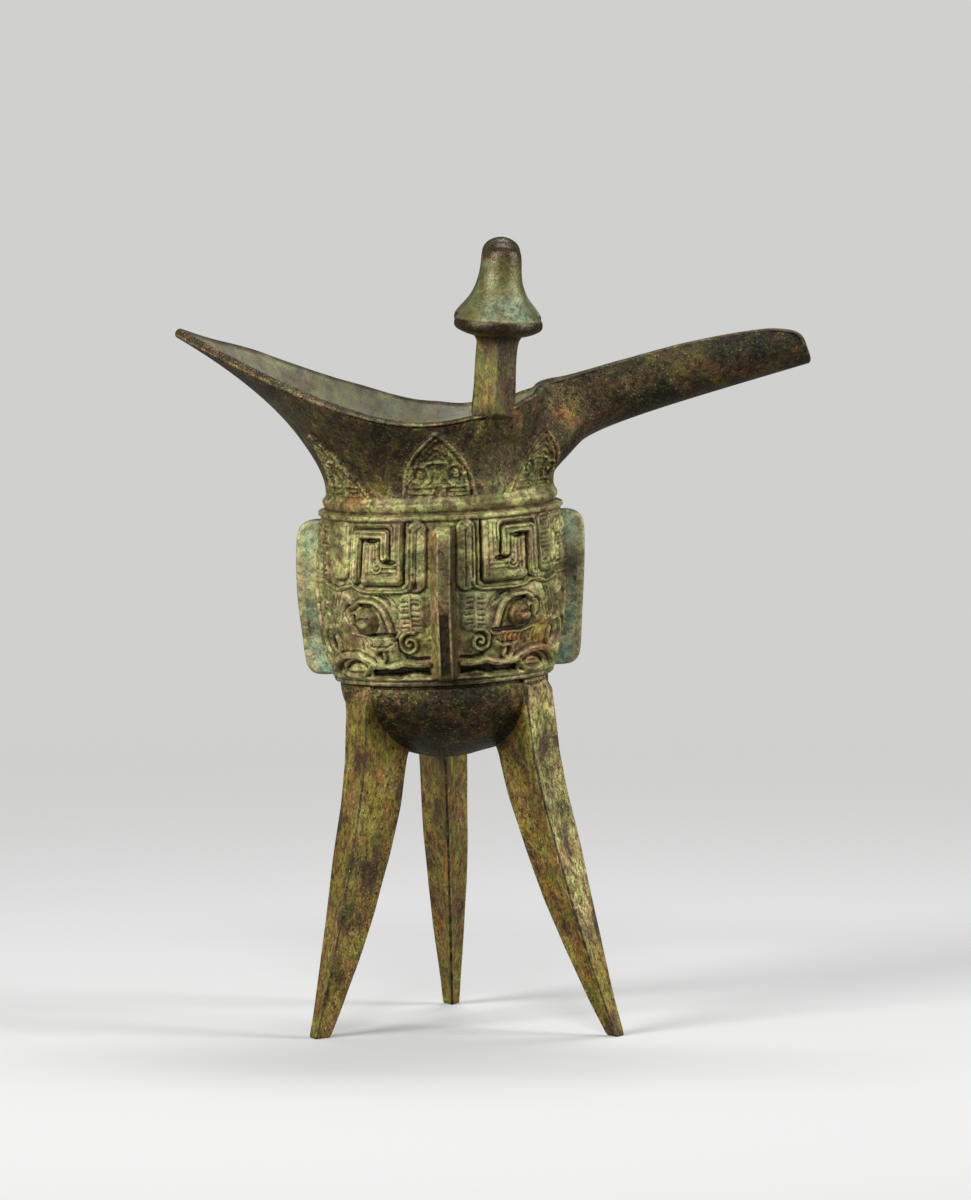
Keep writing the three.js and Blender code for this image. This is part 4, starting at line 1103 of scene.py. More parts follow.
def finish_values(points, standing=0.0):
    """Attributes that steer the patina, from where the surface is and how far it stands out."""
    z = points[..., 2]
    radius = np.hypot(points[..., 0], points[..., 1])
    # Painted shade and painted reflection: the lower bowl is painted dark, as if shaded and mirroring a dark
    # ground.
    bowl = 0.85 * (1 - smooth(z, 87, 92)) * smooth(-radius, -31, -23)
    neck = 0.6 * span(z, 142, 147, 168, 180) * smooth(radius, 27, 30)
    return {
        "crest": np.broadcast_to(standing, z.shape),
        "dark": np.maximum.reduce([bowl, neck, patches(points, DARK_PATCHES)]),
        "rust": patches(points, RUST_PATCHES),
        "green": patches(points, GREEN_PATCHES),
        "pale": patches(points, PALE_PATCHES),
    }


def at_least(values, key, share):
    """Raises an attribute to this share where it is lower."""
    values[key] = np.maximum(values[key], share)


class CupOperator(bpy.types.Operator):
    """Base of the operators that make one group of pieces."""

    bl_options = {"REGISTER", "UNDO"}

    def execute(self, context):
        self.make(context)
        return {"FINISHED"}


class JUE_OT_band(CupOperator):
    """Makes the relief band in four sectors between the flanges and the handle"""

    bl_idname = "jue.make_band"
    bl_label = "Relief band"

    def make(self, context):
        step = context.scene.cup_shape.mesh_step / MM
        heights = np.append(np.arange(BAND_FROM, NECK - step / 2, step), NECK)
        front = math.radians(FRONT_FLANGE)
        sectors = {
            "band_front_tail": (math.pi, front, front, True),
            "band_front_spout": (front, 2 * math.pi, front, False),
            "band_rear_spout": (0, math.pi / 2, math.pi / 2, True),
            "band_rear_tail": (math.pi / 2, math.pi, math.pi / 2, False),
        }
        slope = np.gradient(wall_radius(heights), heights)[:, None]
        length = np.hypot(1, slope)
        for name, (start, end, middle, near_tail) in sectors.items():
            columns = int((end - start) * BELLY_RADIUS / step)
            azimuth, height = np.meshgrid(np.linspace(start, end, columns), heights)
            across = np.abs(azimuth - middle) * BELLY_RADIUS
            rise = band_height(across, height, near_tail)
            rise = rise + 0.10 * self.hammered(azimuth, height)
            points = around(azimuth, wall_radius(height) + rise / length, height - slope * rise / length)
            faces = grid_faces(len(heights), columns, False)
            values = finish_values(points, crest(rise, CREST_STEPS))
            # The eyeballs are red-brown or olive with a pale pupil, and the deep openings are painted dark
            # inside, as dirt and as painted shade.
            ball, pupil = eye_marks(across, height, near_tail)
            at_least(values, "rust", (0.5 if near_tail else 1.2) * ball)
            at_least(values, "dark", (0.4 if near_tail else 0.68) * ball)
            values["dark"] = values["dark"] * (1 - pupil)
            at_least(values, "dark", 1.2 * smooth(-rise, 0.5, 1.0))
            values["pale"] = np.maximum(values["pale"] * (1 - ball), 0.9 * pupil)
            make_piece(name, points.reshape(-1, 3), faces, "cup", "bronze", values,
                       patina("Band patina", "olive", "pale"))

    def hammered(self, azimuth, height):
        """Uneven skin of the cast ground, the same on both sides of every seam."""
        return (np.sin(9 * azimuth + 0.31 * height) * np.sin(0.9 * height + 3 * np.cos(5 * azimuth))
                + 0.6 * np.sin(41 * azimuth - 0.7 * height) * np.sin(1.9 * height))


class JUE_OT_mouth(CupOperator):
    """Makes the neck with its leaves, the spout, the tail and the rounded rim as one piece"""

    bl_idname = "jue.make_mouth"
    bl_label = "Mouth"

    columns = 640
    outer_rows = 124
    rim_rows = 9
    inner_step = 6

    def outer_wall(self, places, levels):
        """Outer wall, whose squared channel runs straight into the slanted end of the lip."""
        outer = upper_wall(places[None, :], levels[:, None])
        last = np.searchsorted(levels, LIP_FROM)
        beyond = (levels - levels[last]) / (1 - levels[last])
        share = np.maximum(beyond, 0)[:, None, None]
        ruled = mix(outer[last], outer[-1], share)
        at_lip = (1 - smooth(np.abs(places), 4.5, 7))[None, :, None] * (share > 0)
        return mix(outer, ruled, at_lip)

    def leaves(self, outer):
        """Relief of the leaves on the wall, and the share of their fields."""
        azimuth = np.arctan2(outer[..., 1], outer[..., 0])
        steps = np.linalg.norm(np.diff(outer, axis=0), axis=-1)
        climb = NECK + np.vstack([np.zeros(self.columns), np.cumsum(steps, axis=0)]) * CLIMB_SHARE
        return leaf_height(azimuth, climb)

    def swelled(self, outer, normals, reach):
        """The wall with soft fillets towards both posts."""
        near_post = smooth(outer[..., 2], 153, 158)
        for side in (-1, 1):
            swell = fillet_reach(post_gap(side, outer), 1.6 * reach) * near_post
            outer = outer + normals * swell[..., None]
        return outer

    def rings(self, outer, normals, levels, rise):
        """Rows of the outer face, of the rounded rim and of the inner face."""
        face = outer + normals * rise[..., None]
        inner = outer - normals * mix(BOWL_WALL, RIM_WALL, levels)[:, None, None]
        crown = (outer[-1] + inner[-1]) / 2
        half = (outer[-1] - inner[-1]) / 2
        up = unit(outer[-1] - outer[-4])
        turn = np.linspace(0, math.pi, self.rim_rows + 2)[1:-1, None, None]
        rim = crown - RIM_ROUND * up + half * np.cos(turn) + RIM_ROUND * up * np.sin(turn)
        face[-1] = outer[-1] - RIM_ROUND * up
        back = inner[::-1][::self.inner_step].copy()
        back[0] = inner[-1] - RIM_ROUND * up
        return face, rim, back

    def marks(self, rings, rise, field, levels):
        """Attributes of the patina: leaves, spout, rim and inner side have fields of their own."""
        rows = len(levels)
        lip = np.zeros(len(rings))
        lip[rows - 2:rows + self.rim_rows + 1] = 0.08
        standing = np.zeros(rings.shape[:2])
        standing[:rows] = crest(rise, CREST_STEPS)
        values = finish_values(rings, standing + lip[:, None])
        inside = np.zeros(rings.shape[:2])
        inside[rows + self.rim_rows - 2:] = 1
        values["dark"] = values["dark"] * (1 - 0.8 * inside)
        # Leaves have a lighter, greener field; the spout is dark below and olive along its top, and its
        # darker underside is painted shade.
        face = rings[:rows]
        values["dark"][:rows] *= 1 - 0.65 * field
        values["green"][:rows] = np.maximum(values["green"][:rows], 0.45 * field)
        beyond = smooth(np.hypot(face[..., 0], face[..., 1]), 42, 52) * smooth(face[..., 0], 30, 40)
        values["dark"][:rows] = np.maximum(
            values["dark"][:rows], beyond * (1 - 0.5 * smooth(levels, 0.4, 0.85)[:, None]))
        # A thin pale line along the rim's outer edge is a painted highlight.
        line = bell(np.arange(len(rings)), rows + 2.0, 0.8)[:, None]
        on_lip = smooth(lip, 0, 0.08)[:, None]
        at_least(values, "dark", 0.75 * on_lip)
        values["dark"] = values["dark"] * (1 - 0.6 * line)
        values["pale"] = np.maximum(values["pale"] * (1 - on_lip), 0.5 * line)
        values["rust"] = values["rust"] * (1 - inside) * (1 - line)
        return values

    def make(self, context):
        places = rim_places(self.columns)
        even = np.linspace(0, 1, self.outer_rows)
        levels = mix(even, even ** 2, 0.4)
        outer = self.outer_wall(places, levels)
        normals = grid_normals(outer, True)
        rise, field = self.leaves(outer)
        # The ring at the neck's foot runs on over the seam, but not out along the spout.
        near_neck = 1 - smooth(np.hypot(outer[..., 0], outer[..., 1]), 40, 45)
        rise = rise + neck_ring(outer[..., 2]) * near_neck
        outer = self.swelled(outer, normals, context.scene.cup_shape.fillet / MM)
        face, rim, back = self.rings(outer, normals, levels, rise)
        rings = np.concatenate([face, rim, back])
        values = self.marks(rings, rise, field, levels)
        faces = grid_faces(len(rings), self.columns, True)
        piece = make_piece("mouth", rings.reshape(-1, 3), faces, "cup", "bronze", values,
                           patina("Mouth patina", "olive", "ochre", speck=1.9), lining())
        row = np.arange(len(faces)) // self.columns
        inner_face = row >= len(face) + self.rim_rows
        piece.data.polygons.foreach_set("material_index", inner_face.astype(np.int32))


class JUE_OT_bowl(CupOperator):
    """Makes the round bottom of the bowl and its inside"""

    bl_idname = "jue.make_bowl"
    bl_label = "Bowl"

    columns = 320

    def make(self, context):
        azimuth = np.linspace(0, 2 * math.pi, self.columns, endpoint=False)[None, :]
        self.outside(azimuth, context.scene.cup_shape.fillet / MM)
        self.inside(azimuth)

    def outside(self, azimuth, reach):
        """Round bottom with soft fillets towards the legs, up to just inside the band's lower ring."""
        turn = np.linspace(0.02, 1, 60)[:, None] * math.pi / 2
        height = BOWL_BOTTOM + (LOWER_RING - BOWL_BOTTOM) * (1 - np.cos(turn))
        height = np.minimum(height, BAND_FROM + 0.7)
        outer = around(azimuth, wall_radius(height), height)
        normals = grid_normals(outer, True)
        for name in LEGS:
            outer = outer + normals * fillet_reach(leg_gap(name, outer), reach)[..., None]
        points, faces = closed_rings(outer, open_top=True)
        points[-1] = (0, 0, BOWL_BOTTOM)
        finish = patina("Bowl patina", "olive", "ochre", metal=0.45, rough=0.3, blotch=0.9, speck=2.2)
        make_piece("bowl_outside", points, faces, "cup", "bronze", finish_values(points), finish)

    def inside(self, azimuth):
        """Inner wall from the bottom up to the neck."""
        heights = np.concatenate([np.linspace(BOWL_BOTTOM + 0.05, LOWER_RING, 40),
                                  np.linspace(LOWER_RING + 1, NECK, 30)])
        slope = np.gradient(wall_radius(heights), heights)
        length = np.hypot(1, slope)
        radius = np.maximum(wall_radius(heights) - BOWL_WALL / length, 0.2)
        inner_height = heights + slope * BOWL_WALL / length
        rings = around(azimuth, radius[:, None], inner_height[:, None])
        points, faces = closed_rings(rings, flip=True, open_top=True)
        points[-1] = (0, 0, inner_height[0])
        values = finish_values(points)
        values["dark"] = values["dark"] * 0.4
        make_piece("bowl_inside", points, faces, "cup", "bronze", values, lining())


class JUE_OT_legs(CupOperator):
    """Makes the three blade legs, which swell softly into the bowl"""

    bl_idname = "jue.make_legs"
    bl_label = "Legs"

    rows = 130
    corner_steps = 7
    side_steps = 12

    def outline(self, half, depth):
        """Rounded triangle across each height; its sides are a little hollow. Also the corner mark."""
        edge = 0.42
        corners = ((0, -1, -math.pi / 2 - 0.35, 0), (0, 1, 0, math.pi / 2 + 0.35),
                   (-1, 0, math.pi / 2 + 0.35, 3 * math.pi / 2 - 0.35))
        out, across = [], []
        for corner_out, corner_across, start, end in corners:
            for angle in np.linspace(start, end, self.corner_steps):
                out.append(corner_out * (depth - 2.2 * edge) - edge + edge * math.cos(angle))
                across.append(corner_across * (half - 1.5 * edge) + edge * math.sin(angle))
        filled_out, filled_across, mark = [], [], []
        for i in range(len(out)):
            j = (i + 1) % len(out)
            flat = i % self.corner_steps == self.corner_steps - 1
            steps = self.side_steps if flat else 1
            sag = 0.35 if i > self.corner_steps else 0.1
            for k in range(steps):
                t = k / steps
                dip = sag * math.sin(math.pi * t) if flat else 0
                edge_out, edge_across = out[j] - out[i], across[j] - across[i]
                size = np.hypot(edge_out, edge_across)
                filled_out.append(out[i] + edge_out * t - dip * edge_across / size)
                filled_across.append(across[i] + edge_across * t + dip * edge_out / size)
                mark.append(-0.3 if abs(i % self.corner_steps - self.corner_steps // 2) < 3 else 0.0)
        return np.stack(filled_out, -1), np.stack(filled_across, -1), np.array(mark)

    def section(self, name, height):
        """Points across a leg at each height, and the mark of its corners."""
        azimuth, facing = np.radians(LEGS[name])
        face, half, depth = leg_section(height)
        out, across, mark = self.outline(half, depth)
        x = face[..., None] * math.cos(azimuth) + out * math.cos(facing) - across * math.sin(facing)
        y = face[..., None] * math.sin(azimuth) + out * math.sin(facing) + across * math.cos(facing)
        return x, y, mark

    def make(self, context):
        reach = context.scene.cup_shape.fillet / MM
        for name in LEGS:
            share = np.concatenate([[0, 0.004], np.linspace(0.008, 1, self.rows)])
            foot_x, _, mark = self.section(name, np.zeros(1))
            sole = -(CUP_PLACE[2] + foot_x[0] * math.sin(LEAN)) / math.cos(LEAN)
            height = sole[None, :] + (LEG_TOP - sole[None, :]) * share[:, None]
            x, y, _ = self.section(name, height.mean(1))
            # Hand-finished faces: they waver a little along the leg.
            waver = 1 + 0.012 * np.sin(0.21 * height + 2.0 * x[0]) * smooth(height, 4, 16)
            middle_x, middle_y = x.mean(1, keepdims=True), y.mean(1, keepdims=True)
            x, y = mix(middle_x, x, waver), mix(middle_y, y, waver)
            points = np.stack([x, y, height], -1)
            # The sole's edge is bevelled.
            middle = points[:2].mean(1, keepdims=True)
            for row, inward in ((0, 0.12), (1, 0.03)):
                points[row] = mix(points[row], middle[row], inward)
            normals = grid_normals(points, True)
            swell = fillet_reach(wall_gap(points), reach) * smooth(points[..., 2], 66, 70)
            points = points + normals * swell[..., None]
            points[:, :, 2] = np.minimum(points[:, :, 2], LEG_TOP)
            # The tops end flush with the ring under the band.
            radius = np.hypot(points[..., 0], points[..., 1])
            limit = wall_radius(LOWER_RING) + 0.2 + 0.6 * np.clip(LEG_TOP - 1 - points[..., 2], 0, None)
            points[..., :2] *= np.minimum(1, limit / radius)[..., None]
            body, faces = closed_rings(points)
            values = finish_values(body, body_values(mark, points.shape[:2]))
            # Painted shade on the legs near the front of the bowl, and over the whole rear leg.
            values["dark"] = 0.5 * patches(body, [BOWL_PAINTED_SHADE])
            if name == "leg_rear":
                at_least(values, "dark", 0.16)
            # Painted light: the outer face of the leg by the spout is painted paler, as lit from its side.
            if name == "leg_front_spout":
                outside = np.arange(len(mark)) % len(mark) < self.corner_steps + self.side_steps
                pale = outside * smooth(points[..., 2], 14, 30)
                values["pale"] = body_values(0.7 * pale, points.shape[:2])
            finish = patina("Leg patina", "ochre", "olive", blotch=1.0, film="olive", speck=1.6, along=0.7,
                            clouds=0.5)
            make_piece(name, body, faces, name, "bronze", values, finish)


class JUE_OT_flanges(CupOperator):
    """Makes the three upright flanges of the band"""

    bl_idname = "jue.make_flanges"
    bl_label = "Flanges"

    def make(self, context):
        outline = rounded_path(FLANGE_OUTLINE, 110)
        root = np.stack([wall_radius(outline[:, 1]) - 1.6, outline[:, 1]], 1)
        for name, azimuth in FLANGES.items():
            self.fin(name, math.radians(azimuth), outline, root, name == "flange_front")

    def fin(self, name, azimuth, outline, root, front):
        """One flange: both faces, their rounded edges, and the slot low on the front one."""
        out = np.array([math.cos(azimuth), math.sin(azimuth)])
        side = np.array([-math.sin(azimuth), math.cos(azimuth)])
        along = np.gradient(outline, axis=0)
        normal = unit(np.stack([along[:, 1], -along[:, 0]], 1))
        half = FLANGE_THICKNESS / 2
        draft = 2.2 if front else 0.25
        edge = 0.55
        # Across the flange: how far out each line lies, from the root of one face to the other's.
        high = 0.1 if front else 0.3
        steps = [(1.0, -0.1), (0.72, 0), (0.45, 0), (0.26, 0), (0.18, high), (0.05, high)]
        slot = span(outline[:, 1], 94.6, 95.4, 110.6, 111.8)
        lines = []
        for which in (-1, 1):
            face = []
            for share, mark in steps:
                line = mix(outline - normal * edge, root, share)
                face.append((line, which * (half + draft * share), mark))
            face.append((outline - normal * 0.3 * edge, which * (half - 0.3 * edge), 0.3))
            face.append((outline, which * (half - edge), 0.1))
            if front:
                sunk = outline - normal * 0.45 * slot[:, None]
                face.append((sunk, which * (half - edge - 0.18), 0.05 - 0.4 * slot))
            lines += face[::-which]
        grid, marks = [], []
        for line, across, mark in lines:
            grid.append(np.stack([line[:, 0] * out[0] + across * side[0],
                                  line[:, 0] * out[1] + across * side[1], line[:, 1]], -1))
            marks.append(np.broadcast_to(mark, len(line)))
        grid, marks = np.stack(grid, 1), np.stack(marks, 1)
        faces = grid_faces(grid.shape[0], grid.shape[1], False)
        values = finish_values(grid, marks)
        if front:
            # Painted light on the front flange: its left side is painted orange and pale as the lit side,
            # its right side dark as painted shade, and its rounded top pale as a painted highlight.
            aside = grid[..., 0] * side[0] + grid[..., 1] * side[1]
            left = smooth(-aside, half - 0.4, half + 0.4)
            right = smooth(aside, half - 0.4, half + 0.4)
            values["rust"] = np.maximum(0.9 * left, 0.3 * values["rust"])
            middle = (1 - left) * (1 - right) * smooth(grid[..., 2], 111, 115)
            values["pale"] = 0.6 * left + 0.3 * middle + 0.5 * smooth(grid[..., 2], 130.5, 132.5)
            values["crest"] = values["crest"] * (1 - right)
            values["dark"] = np.maximum(0.75 * smooth(-marks, 0.1, 0.3), 0.5 * right)
            finish = patina("Front flange patina", "olive", "brown", blotch=0.6)
        else:
            finish = patina("Flange patina", "verdigris", "pale", metal=0.2, rough=0.42, blotch=0.3,
                            film="verdigris", clouds=0.45)
        make_piece(name, grid.reshape(-1, 3), faces, name, "pale_bronze", values, finish, sharp=60)


def post_gap(side, points):
    """Distance from a post's square section, for points in the cup frame."""
    place, facing, across, _ = post_axes(side)
    away = points - place
    return np.maximum(np.abs(away @ facing), np.abs(away @ across)) - POST_FOOT_SIDE / 2


def post_axes(side):
    """Place and three directions of a post: along its facing side, across it and up the stem."""
    up = np.array([math.sin(POST_LEAN), 0, math.cos(POST_LEAN)])
    turn = side * POST_TURN
    level = np.array([math.cos(turn), math.sin(turn), 0])
    across = unit(np.cross(up, level))
    facing = unit(np.cross(across, up))
    return np.array([POST_X, side * POST_Y, POST_BOTTOM]), facing, across, up


def on_post(side, x, y, z):
    place, facing, across, up = post_axes(side)
    return place + x[..., None] * facing + y[..., None] * across + z[..., None] * up


class JUE_OT_posts(CupOperator):
    """Makes the two square posts on the rim and their bell-shaped caps"""

    bl_idname = "jue.make_posts"
    bl_label = "Posts and caps"

    tucked = 9.0

    def tuck(self, side, points):
        """Lower part of a stem: outside the wall it leaves the surface softly below the rim."""
        wall = upper_wall(rim_places(480)[None, :], np.linspace(0.4, 1, 70)[:, None])
        normals = grid_normals(wall, True)
        near = np.linalg.norm(wall - points.mean((0, 1)), axis=-1) < 16
        wall, normals = wall[near], normals[near]
        for row in points:
            away = row[:, None] - wall[None]
            nearest = (away ** 2).sum(-1).argmin(1)
            own = normals[nearest]
            outside = (away[np.arange(len(row)), nearest] * own).sum(-1)
            # The stem may stand out of the wall the more, the nearer it comes to the rim.
            allowed = 3.6 * smooth(row[:, 2], 158, 164.5) - 0.15
            row -= own * np.clip(outside - allowed, 0, None)[:, None]
        return points

    def make(self, context):
        for name, side, drop in (("near", -1, 0), ("far", 1, FAR_POST_DROP)):
            height = POST_SHOULDER - POST_BOTTOM - drop
            self.stem(name, side, height)
            self.cap(name, side, height)

    def stem(self, name, side, height):
        """Square stem with softened corners that spreads at the foot and under the cap."""
        columns = 96
        levels = np.linspace(0, height + 0.8, 90)
        turn = np.linspace(0, 2 * math.pi, columns, endpoint=False)
        half = mix(POST_FOOT_SIDE, POST_HEAD_SIDE, levels / height)[:, None] / 2
        power = 9
        size = (np.abs(np.cos(turn)) ** power + np.abs(np.sin(turn)) ** power) ** (-1 / power)
        wave = 1 + 0.012 * np.sin(0.5 * levels[:, None] + 3 * turn[None, :])
        head = 0.5 * np.exp(-(height - levels) / 1.2)[:, None]
        x = (half * wave + head) * size[None, :] * np.cos(turn)
        y = (half * wave + head) * size[None, :] * np.sin(turn)
        points = on_post(side, x, y, np.broadcast_to(levels[:, None], x.shape))
        low = levels < self.tucked
        points[low] = self.tuck(side, points[low])
        body, faces = closed_rings(points)
        corner = 0.12 * smooth(size, 1.2, 1.32)
        values = finish_values(body, body_values(corner, x.shape))
        # Painted shade: the cap's shadow darkens the top of the stem, and its foot by the wall is painted
        # darker too.
        shade = 0.8 * np.exp(-(height - levels) / 2.0) + 0.7 * (1 - smooth(levels, 4, 9))
        # The face that looks along the spout is painted darker, as painted shade.
        beyond = 0.55 * smooth(np.cos(turn) * size, 0.9, 0.99)[None, :]
        values["dark"] = body_values(np.maximum(shade[:, None], beyond), x.shape)
        finish = patina("Stem patina", "olive", "ochre", blotch=0.4, along=0.6, clouds=0.6)
        make_piece(f"post_{name}", body, faces, f"post_{name}", "bronze", values, finish)

    def cap(self, name, side, height):
        """Bell-shaped cap, turned by the Geometry Nodes rule from its profile."""
        material = patina("Cap patina", "olive", "brown", metal=0.34, rough=0.36, blotch=0.4,
                          film="verdigris", speck=0.7, clouds=0.4)
        tall = CAP_PROFILE[-1][0]
        widest = max(radius for _, radius in CAP_PROFILE) - 0.1
        seed = bpy.data.meshes.new("cap_seed")
        points, faces = ruled_mesh(seed, turned_rule(), {"Height": tall, "Radius": widest,
                                                         "Material": material})
        up = points[:, 2].copy()
        points[:, 2] += height + 0.3
        edge = span(up, 0.9, 1.6, 4.3, 4.9)
        top = smooth(up, 18.5, 22)
        body = on_post(side, points[:, 0], points[:, 1], points[:, 2])
        values = finish_values(body)
        # The pale line just above the dark edge ring is a painted highlight, and the dark below the ring is
        # painted shade of the underside.
        values["crest"] = 0.18 * bell(up, 5.1, 0.35) - 0.32 * edge
        values["dark"] = np.maximum.reduce([0.97 * edge, 0.7 * top, 0.9 * smooth(-up, -1.6, -0.9)])
        values["green"] = 0.14 * bell(up, 9.5, 3.5)
        values["rust"] = 0.35 * edge
        make_piece(f"post_cap_{name}", body, faces, f"post_cap_{name}", "dark_bronze", values, material)


def turned_rule():
    """Geometry Nodes tree of a turned body: an open cylinder whose radius follows a curve up its height."""
    tree = bpy.data.node_groups.get("Turned body")
    if tree:
        return tree
    rule = Rule("Turned body", (("Height", "NodeSocketFloat"), ("Radius", "NodeSocketFloat"),
                                ("Material", "NodeSocketMaterial")))
    tube = rule.add("GeometryNodeMeshCylinder", {"Vertices": 112, "Side Segments": 150, "Radius": 1.0,
                                                 "Depth": 1.0}, fill_type="NONE")
    place = rule.add("ShaderNodeSeparateXYZ", {0: rule.add("GeometryNodeInputPosition").outputs[0]})
    along = rule.math("ADD", place.outputs[2], 0.5, True)
    shape = rule.add("ShaderNodeFloatCurve", {"Value": along})
    line = shape.mapping.curves[0]
    tall = CAP_PROFILE[-1][0]
    widest = max(radius for _, radius in CAP_PROFILE)
    line.points[0].location = (0, 0)
    line.points[1].location = (1, 0)
    for height, radius in [(0.12, CAP_PROFILE[0][1])] + CAP_PROFILE[1:-1]:
        line.points.new(height / tall, radius / widest)
    shape.mapping.update()
    radius = rule.times(shape.outputs[0], rule.input("Radius"))
    spot = rule.add("ShaderNodeCombineXYZ", {
        0: rule.times(place.outputs[0], radius),
        1: rule.times(place.outputs[1], radius),
        2: rule.times(along, rule.input("Height"))})
    turned = rule.add("GeometryNodeSetPosition", {0: tube.outputs[0], "Position": spot.outputs[0]})
    closed = rule.add("GeometryNodeMergeByDistance", {0: turned.outputs[0], "Distance": 0.001})
    return rule.finish(closed.outputs[0])


def strap_rule():
    """Geometry Nodes tree of a strap: a rounded bar that follows the line it is given."""
    rule = Rule("Strap along a line", (("Width", "NodeSocketFloat"), ("Thickness", "NodeSocketFloat"),
                                       ("Corner", "NodeSocketFloat"), ("Material", "NodeSocketMaterial")))
    line = rule.add("GeometryNodeMeshToCurve", {0: rule.input("Geometry")})
    section = rule.add("GeometryNodeCurvePrimitiveQuadrilateral",
                       {"Width": rule.input("Width"), "Height": rule.input("Thickness")})
    soft = rule.add("GeometryNodeFilletCurve", {0: section.outputs[0], "Count": 5,
                                                "Radius": rule.input("Corner")}, mode="POLY")
    fine = rule.add("GeometryNodeResampleCurve", {0: soft.outputs[0], "Count": 72})
    bar = rule.add("GeometryNodeCurveToMesh", {0: line.outputs[0], 1: fine.outputs[0], "Fill Caps": True})
    return rule.finish(bar.outputs[0])


class JUE_OT_handle(CupOperator):
    """Makes the strap handle at the rear and the horned animal head on it"""

    bl_idname = "jue.make_handle"
    bl_label = "Handle and head"

    def make(self, context):
        path = rounded_path(HANDLE_PATH, 130)
        material = patina("Handle patina", "olive", "ochre", metal=0.32, rough=0.45)
        seed = bpy.data.meshes.new("handle_line")
        seed.from_pydata([(0, y, z) for y, z in path], [(i, i + 1) for i in range(len(path) - 1)], [])
        points, faces = ruled_mesh(seed, strap_rule(), {**HANDLE_SECTION, "Material": material})
        edge = 0.35 * smooth(np.abs(points[:, 0]), 4.6, 5.3)
        values = finish_values(points, edge)
        make_piece("handle", points, faces, "handle", "bronze", values, material)
        self.head(path)

    def head(self, path):
        """Animal head: skull, muzzle, brows, ears and ringed horns, joined by a voxel remesh."""
        seat = path[np.argmax(path[:, 0] >= HEAD_RADIUS)][1] + 2.3
        build = bmesh.new()

        def ball(x, y, z, wide, deep, tall, tilts=False):
            matrix = (Matrix.Translation((x, HEAD_RADIUS + y, seat + z))
                      @ Matrix.Rotation(HEAD_TILT if tilts else 0, 4, "X")
                      @ Matrix.Diagonal((wide, deep, tall, 1)))
            bmesh.ops.create_icosphere(build, subdivisions=4, radius=1, matrix=matrix)

        for sizes in HEAD_MIDDLE:
            ball(*sizes)
        horn_line = rounded_path(HEAD_HORN, 30)
        for side in (-1, 1):
            for x, *sizes in HEAD_SIDE:
                ball(side * x, *sizes)
            for i, (x, y, z) in enumerate(horn_line):
                thick = mix(1.4, 0.7, i / 29) * (1 + 0.14 * math.sin(1.4 * i))
                ball(side * x, y, z, thick, thick, thick)
        mesh = bpy.data.meshes.new("head_parts")
        build.to_mesh(mesh)
        build.free()
        holder = new_object("head_parts", mesh)
        joined = holder.modifiers.new("Joined", "REMESH")
        joined.mode = "VOXEL"
        joined.voxel_size = HEAD_VOXEL
        soft = holder.modifiers.new("Soft", "SMOOTH")
        soft.factor = 0.5
        soft.iterations = 4
        points, faces = plain_mesh(holder)
        dx, dy, dz = points[:, 0], points[:, 1] - HEAD_RADIUS, points[:, 2] - seat
        # Mouth line and pupils, pressed into the remeshed skin.
        mouth = bell(dz + 0.12 * dy, 1.9, 0.35) * smooth(dy, 3.4, 5)
        pupil = bell(np.abs(dx), 4.6, 0.5) * bell(dz, 6.3, 0.5) * smooth(dy, 2.6, 3.2)
        inward = points - np.array([0, HEAD_RADIUS, seat + 4])
        points = points - unit(inward) * (0.6 * mouth + 0.5 * pupil)[:, None]
        points[:, 2] = np.maximum(points[:, 2], seat - 0.6)
        values = finish_values(points)
        values["crest"] = 0.25 - 0.8 * mouth - 0.8 * pupil
        values["dark"] = 0.5 * smooth(-dz, -2.5, -0.5)
        finish = patina("Head patina", "olive", "brown", metal=0.35, rough=0.42, blotch=0.6)
        make_piece("handle_beast_head", points, faces, "handle_beast_head", "dark_bronze", values, finish)


class JUE_OT_cores(CupOperator):
    """Gives the clay cores and the bronze spacers of the casting their materials"""

    bl_idname = "jue.finish_cores"
    bl_label = "Cores and spacers"

    def make(self, context):
        clay = fired_clay()
        bronze = patina("Spacer patina", "brown", "olive", metal=0.4, rough=0.45, blotch=0.4)
        for name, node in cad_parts.items():
            for start, material in (("core_", clay), ("chaplet_", bronze)):
                if name.startswith(start):
                    node.data.materials.clear()
                    node.data.materials.append(material)


def fired_clay():
    """Rough grey-red clay with sand grains."""
    material = bpy.data.materials.new("Core clay")
    nodes = material_nodes(material)
    place = nodes.add("ShaderNodeTexCoord").outputs["Object"]
    cloud = nodes.noise(place, 160, 4, 0.6)
    grain = nodes.noise(place, 2400, 3, 0.7)
    colour = nodes.mix(cloud, palette("clay"), palette("brown"))
    colour = nodes.mix(nodes.step(grain, 0.55, 0.7, 0, 0.6), colour, palette("pale"))
    nodes.surface(colour, 0.9, grain, 0.6, 0.0004)
    return material


